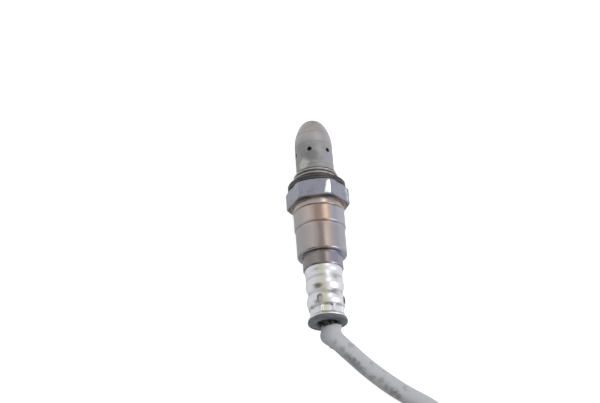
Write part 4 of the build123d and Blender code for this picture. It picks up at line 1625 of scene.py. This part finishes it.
class Slot(Enum):
    """Plain finishes of the CAD nodes that stay, by the record's material slot."""

    FILTER = Plain("filter_white", srgb(236, 236, 234), srgb(222, 222, 220), 0.7)
    ELEMENT = Plain("element_ceramic", srgb(222, 220, 214), srgb(206, 202, 194), 0.5)
    HOLDER = Plain("holder_ceramic", srgb(232, 228, 216), srgb(216, 210, 196), 0.55)
    TALC = Plain("talc", srgb(206, 206, 202), srgb(190, 190, 186), 0.85)
    WASHER = Plain("washer_metal", srgb(178, 178, 178), srgb(160, 160, 160), 0.35, 1.0)
    CONTACT = Plain("contact_metal", srgb(206, 202, 192), srgb(190, 186, 176), 0.3, 1.0)
    # Dark grey cores; where they cross the gap behind the grommet this dark grey also stands in for the shade
    # there.
    CORE = Plain("core_colours", srgb(72, 72, 74), srgb(60, 60, 62), 0.55)
    TIE = Plain("tie_plastic", srgb(48, 48, 50), srgb(36, 36, 38), 0.42)
    BAND = Plain("band_shrink", srgb(52, 52, 54), srgb(40, 40, 42), 0.5)
    PLUG = Plain("plug_plastic", srgb(58, 58, 61), srgb(46, 46, 49), 0.48)
    PIN = Plain("pin_metal", srgb(214, 214, 210), srgb(196, 196, 192), 0.25, 1.0)
    SEAL = Plain("seal_rubber", srgb(158, 92, 74), srgb(140, 78, 62), 0.6)
    LOCK = Plain("lock_plastic", srgb(198, 196, 184), srgb(186, 182, 168), 0.5)


@dataclass
class KeptNodes:
    """CAD nodes whose shape is right and which get a procedural finish."""

    finishes: tuple[tuple[Slot, tuple[str, ...]], ...] = (
        (Slot.FILTER, ("vent_filter",)),
        (Slot.ELEMENT, ("sensing_element",)),
        (Slot.HOLDER, ("lower_insulator", "ceramic_sleeve", "contact_holder")),
        (Slot.TALC, ("talc_ring",)),
        (Slot.WASHER, ("packing_washer", "crimp_ring", "holder_clip")),
        (Slot.CONTACT, ("contact_springs", "crimp_ferrules")),
        (Slot.CORE, ("inner_leads", "connector_leads")),
        (Slot.TIE, ("lead_tie",)),
        (Slot.BAND, ("sleeve_band",)),
        (Slot.PLUG, ("connector_housing",)),
        (Slot.PIN, ("connector_pins",)),
        (Slot.SEAL, ("rear_seal",)),
        (Slot.LOCK, ("terminal_lock",)),
    )
    made: dict[Slot, Material] = field(default_factory=dict)

    def dress(self, guard: Material) -> None:
        """Gives every kept node its finish.

        Args:
            guard: material of the gas guard, which the inner guard shares.
        """
        for slot, nodes in self.finishes:
            finish = slot.value.make()
            self.made[slot] = finish
            for name in nodes:
                self._finish(name, finish)
        self._finish("inner_guard", guard)

    @staticmethod
    def _finish(name: str, finish: Material) -> None:
        """Assigns a finish to one node and shades it.

        Args:
            name: the node's name.
            finish: its material.
        """
        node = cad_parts[name]
        node.data.materials.clear()
        node.data.materials.append(finish)
        shaded(node.data, 32.0)
        LOG.info("dressed %s with %s", name, finish.name)


@dataclass
class Studio:
    """Pale floor, plain soft light and the camera of the photograph."""

    focal_px: float = 1131.494
    distance: float = 450.0
    elevation: float = 62.576
    azimuth: float = -1.976
    roll: float = -2.086
    target: Pair = (-7.05, -6.037)
    aim: Point = (0.0, -20.0, 0.0)
    image_width: float = 600.0
    sensor: float = 36.0
    floor: float = FLOOR_Z
    floor_gap: float = 0.03
    floor_size: float = 6.0
    floor_colour: Colour = (0.86, 0.86, 0.865)
    card_colour: Colour = (0.02, 0.02, 0.02)
    camera_glow: float = 0.62
    glossy_glow: float = 0.3
    ambient: float = 0.72

    def camera(self) -> None:
        """Places the camera that was fitted to the photograph's rings and corners."""
        rise, turn, lean = (math.radians(value) for value in (self.elevation, self.azimuth, self.roll))
        back = Vector((math.sin(turn) * math.cos(rise), -math.cos(turn) * math.cos(rise), math.sin(rise)))
        right = Vector((0, 0, 1)).cross(back).normalized()
        up = back.cross(right)
        leaned_right = right * math.cos(lean) + up * math.sin(lean)
        leaned_up = up * math.cos(lean) - right * math.sin(lean)
        data = bpy.data.cameras.new("camera")
        data.sensor_width = self.sensor
        data.sensor_fit = "HORIZONTAL"
        data.lens = self.focal_px / self.image_width * self.sensor
        data.clip_start = 0.01
        data.clip_end = 20.0
        made = bpy.data.objects.new("camera", data)
        bpy.context.scene.collection.objects.link(made)
        place = (Vector((*self.target, 0.0)) + back * self.distance) * MM
        turned = Matrix((leaned_right, leaned_up, back)).transposed().to_4x4()
        made.matrix_world = Matrix.Translation(place) @ turned
        bpy.context.scene.camera = made

    def ground(self) -> None:
        """Adds the floor: white to the camera and to reflections, with the object's shadow."""
        below = (self.floor - self.floor_gap) * MM
        bpy.ops.mesh.primitive_plane_add(size=self.floor_size, location=(0, 0, below))
        floor = bpy.context.object
        floor.name = "floor"
        bench = Bench.of("floor_white")
        rays = bench.node("ShaderNodeLightPath")
        seen = bench.signal(rays, "Is Camera Ray").most(bench.signal(rays, "Is Transmission Ray"))
        seen = seen * self.camera_glow + bench.signal(rays, "Is Glossy Ray") * self.glossy_glow
        matt = bench.node("ShaderNodeBsdfDiffuse", None, {"Color": self.floor_colour})
        glow = bench.node("ShaderNodeEmission", None, {"Color": (1.0, 1.0, 1.0), "Strength": seen})
        total = bench.node("ShaderNodeAddShader", None, {0: bench.signal(matt), 1: bench.signal(glow)})
        floor.data.materials.append(bench.close(total))

    def sky(self) -> None:
        """World: a soft grey light that looks white to the camera, to reflections and through glass."""
        world = bpy.data.worlds.new("studio")
        bpy.context.scene.world = world
        bench = Bench(world)
        diffuse = bench.signal(bench.node("ShaderNodeLightPath"), "Is Diffuse Ray")
        level = bench.node("ShaderNodeMapRange", None,
                           {"Value": 1.0 - diffuse, "To Min": self.ambient, "To Max": 1.0})
        shade = bench.node("ShaderNodeBackground", None,
                           {"Color": (1.0, 1.0, 1.0), "Strength": bench.signal(level)})
        bench.close(shade, "ShaderNodeOutputWorld")

    def facing(self, place: Point) -> Matrix:
        """A stance at a place, in millimetres, that looks at the sensor."""
        start, end = Vector(place) * MM, Vector(self.aim) * MM
        return Matrix.Translation(start) @ (start - end).to_track_quat("Z", "Y").to_matrix().to_4x4()

    def lamp(self, name: str, place: Point, size: Pair, glow: float, colour: Colour) -> None:
        """Adds one soft rectangular lamp of a given brightness; its place and size are millimetres.

        Args:
            name: the lamp's name.
            place: where it is.
            size: its width and height.
            glow: its brightness where it is seen.
            colour: its colour.
        """
        data = bpy.data.lights.new(name, "AREA")
        data.shape = "RECTANGLE"
        data.size, data.size_y = size[0] * MM, size[1] * MM
        data.energy = glow * math.pi * data.size * data.size_y
        data.color = colour
        made = bpy.data.objects.new(name, data)
        bpy.context.scene.collection.objects.link(made)
        made.matrix_world = self.facing(place)

    def card(self, name: str, place: Point, size: Pair) -> None:
        """Adds a dark card that faces the sensor and that only reflections show.

        Args:
            name: the card's name.
            place: where it is, in millimetres.
            size: its width and height in millimetres.
        """
        bpy.ops.mesh.primitive_plane_add(size=1.0)
        made = bpy.context.object
        made.name = name
        made.matrix_world = self.facing(place) @ Matrix.Diagonal((size[0] * MM, size[1] * MM, 1.0, 1.0))
        made.visible_camera = False
        made.visible_shadow = False
        made.visible_diffuse = False
        black = Bench.of(f"{name}_black").surface(Base_Color=self.card_colour, Roughness=0.9)
        made.data.materials.append(black)

    def lights(self) -> None:
        """Adds the window, a soft lamp on the right, and two dark cards."""
        self.lamp("window", (375.0, 440.0, 770.0), (190.0, 420.0), 2.8, (1.0, 0.99, 0.97))
        self.lamp("side", (760.0, -220.0, 480.0), (500.0, 500.0), 3.5, (0.96, 0.97, 1.0))
        self.card("horizon_card", (330.0, 800.0, 125.0), (1300.0, 280.0))
        self.card("left_card", (-560.0, -400.0, 560.0), (900.0, 640.0))

    def build(self) -> None:
        """Sets up the whole studio."""
        scene = bpy.context.scene
        scene.view_settings.view_transform = "Standard"
        self.camera()
        self.ground()
        self.sky()
        self.lights()
        LOG.info("studio ready")


def main() -> None:
    """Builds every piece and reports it."""
    logging.basicConfig(level=logging.INFO, format="%(name)s: %(message)s")
    Studio().build()
    guard = GuardSteel().make()
    kept = KeptNodes()
    kept.dress(guard)
    pieces = [
        GasGuard().build(guard),
        ThreadedShell().build(TurnedSteel().make()),
        SeatGasket().build(ScaledSteel().make()),
        RearCasing().build(TintAndReflectionSteel().make()),
        CrimpedCover().build(BrightSteel().make()),
        Grommet().build(FlangeRubber().make()),
    ]
    lead = SleevedLead()
    pieces += lead.build(WovenSleeve().make(lead.smudge_and_shade_patches), kept.made[Slot.CORE])
    for piece in pieces:
        LOG.info("%s: %d faces", piece.name, len(piece.data.polygons))


if __name__ == "__main__":
    main()
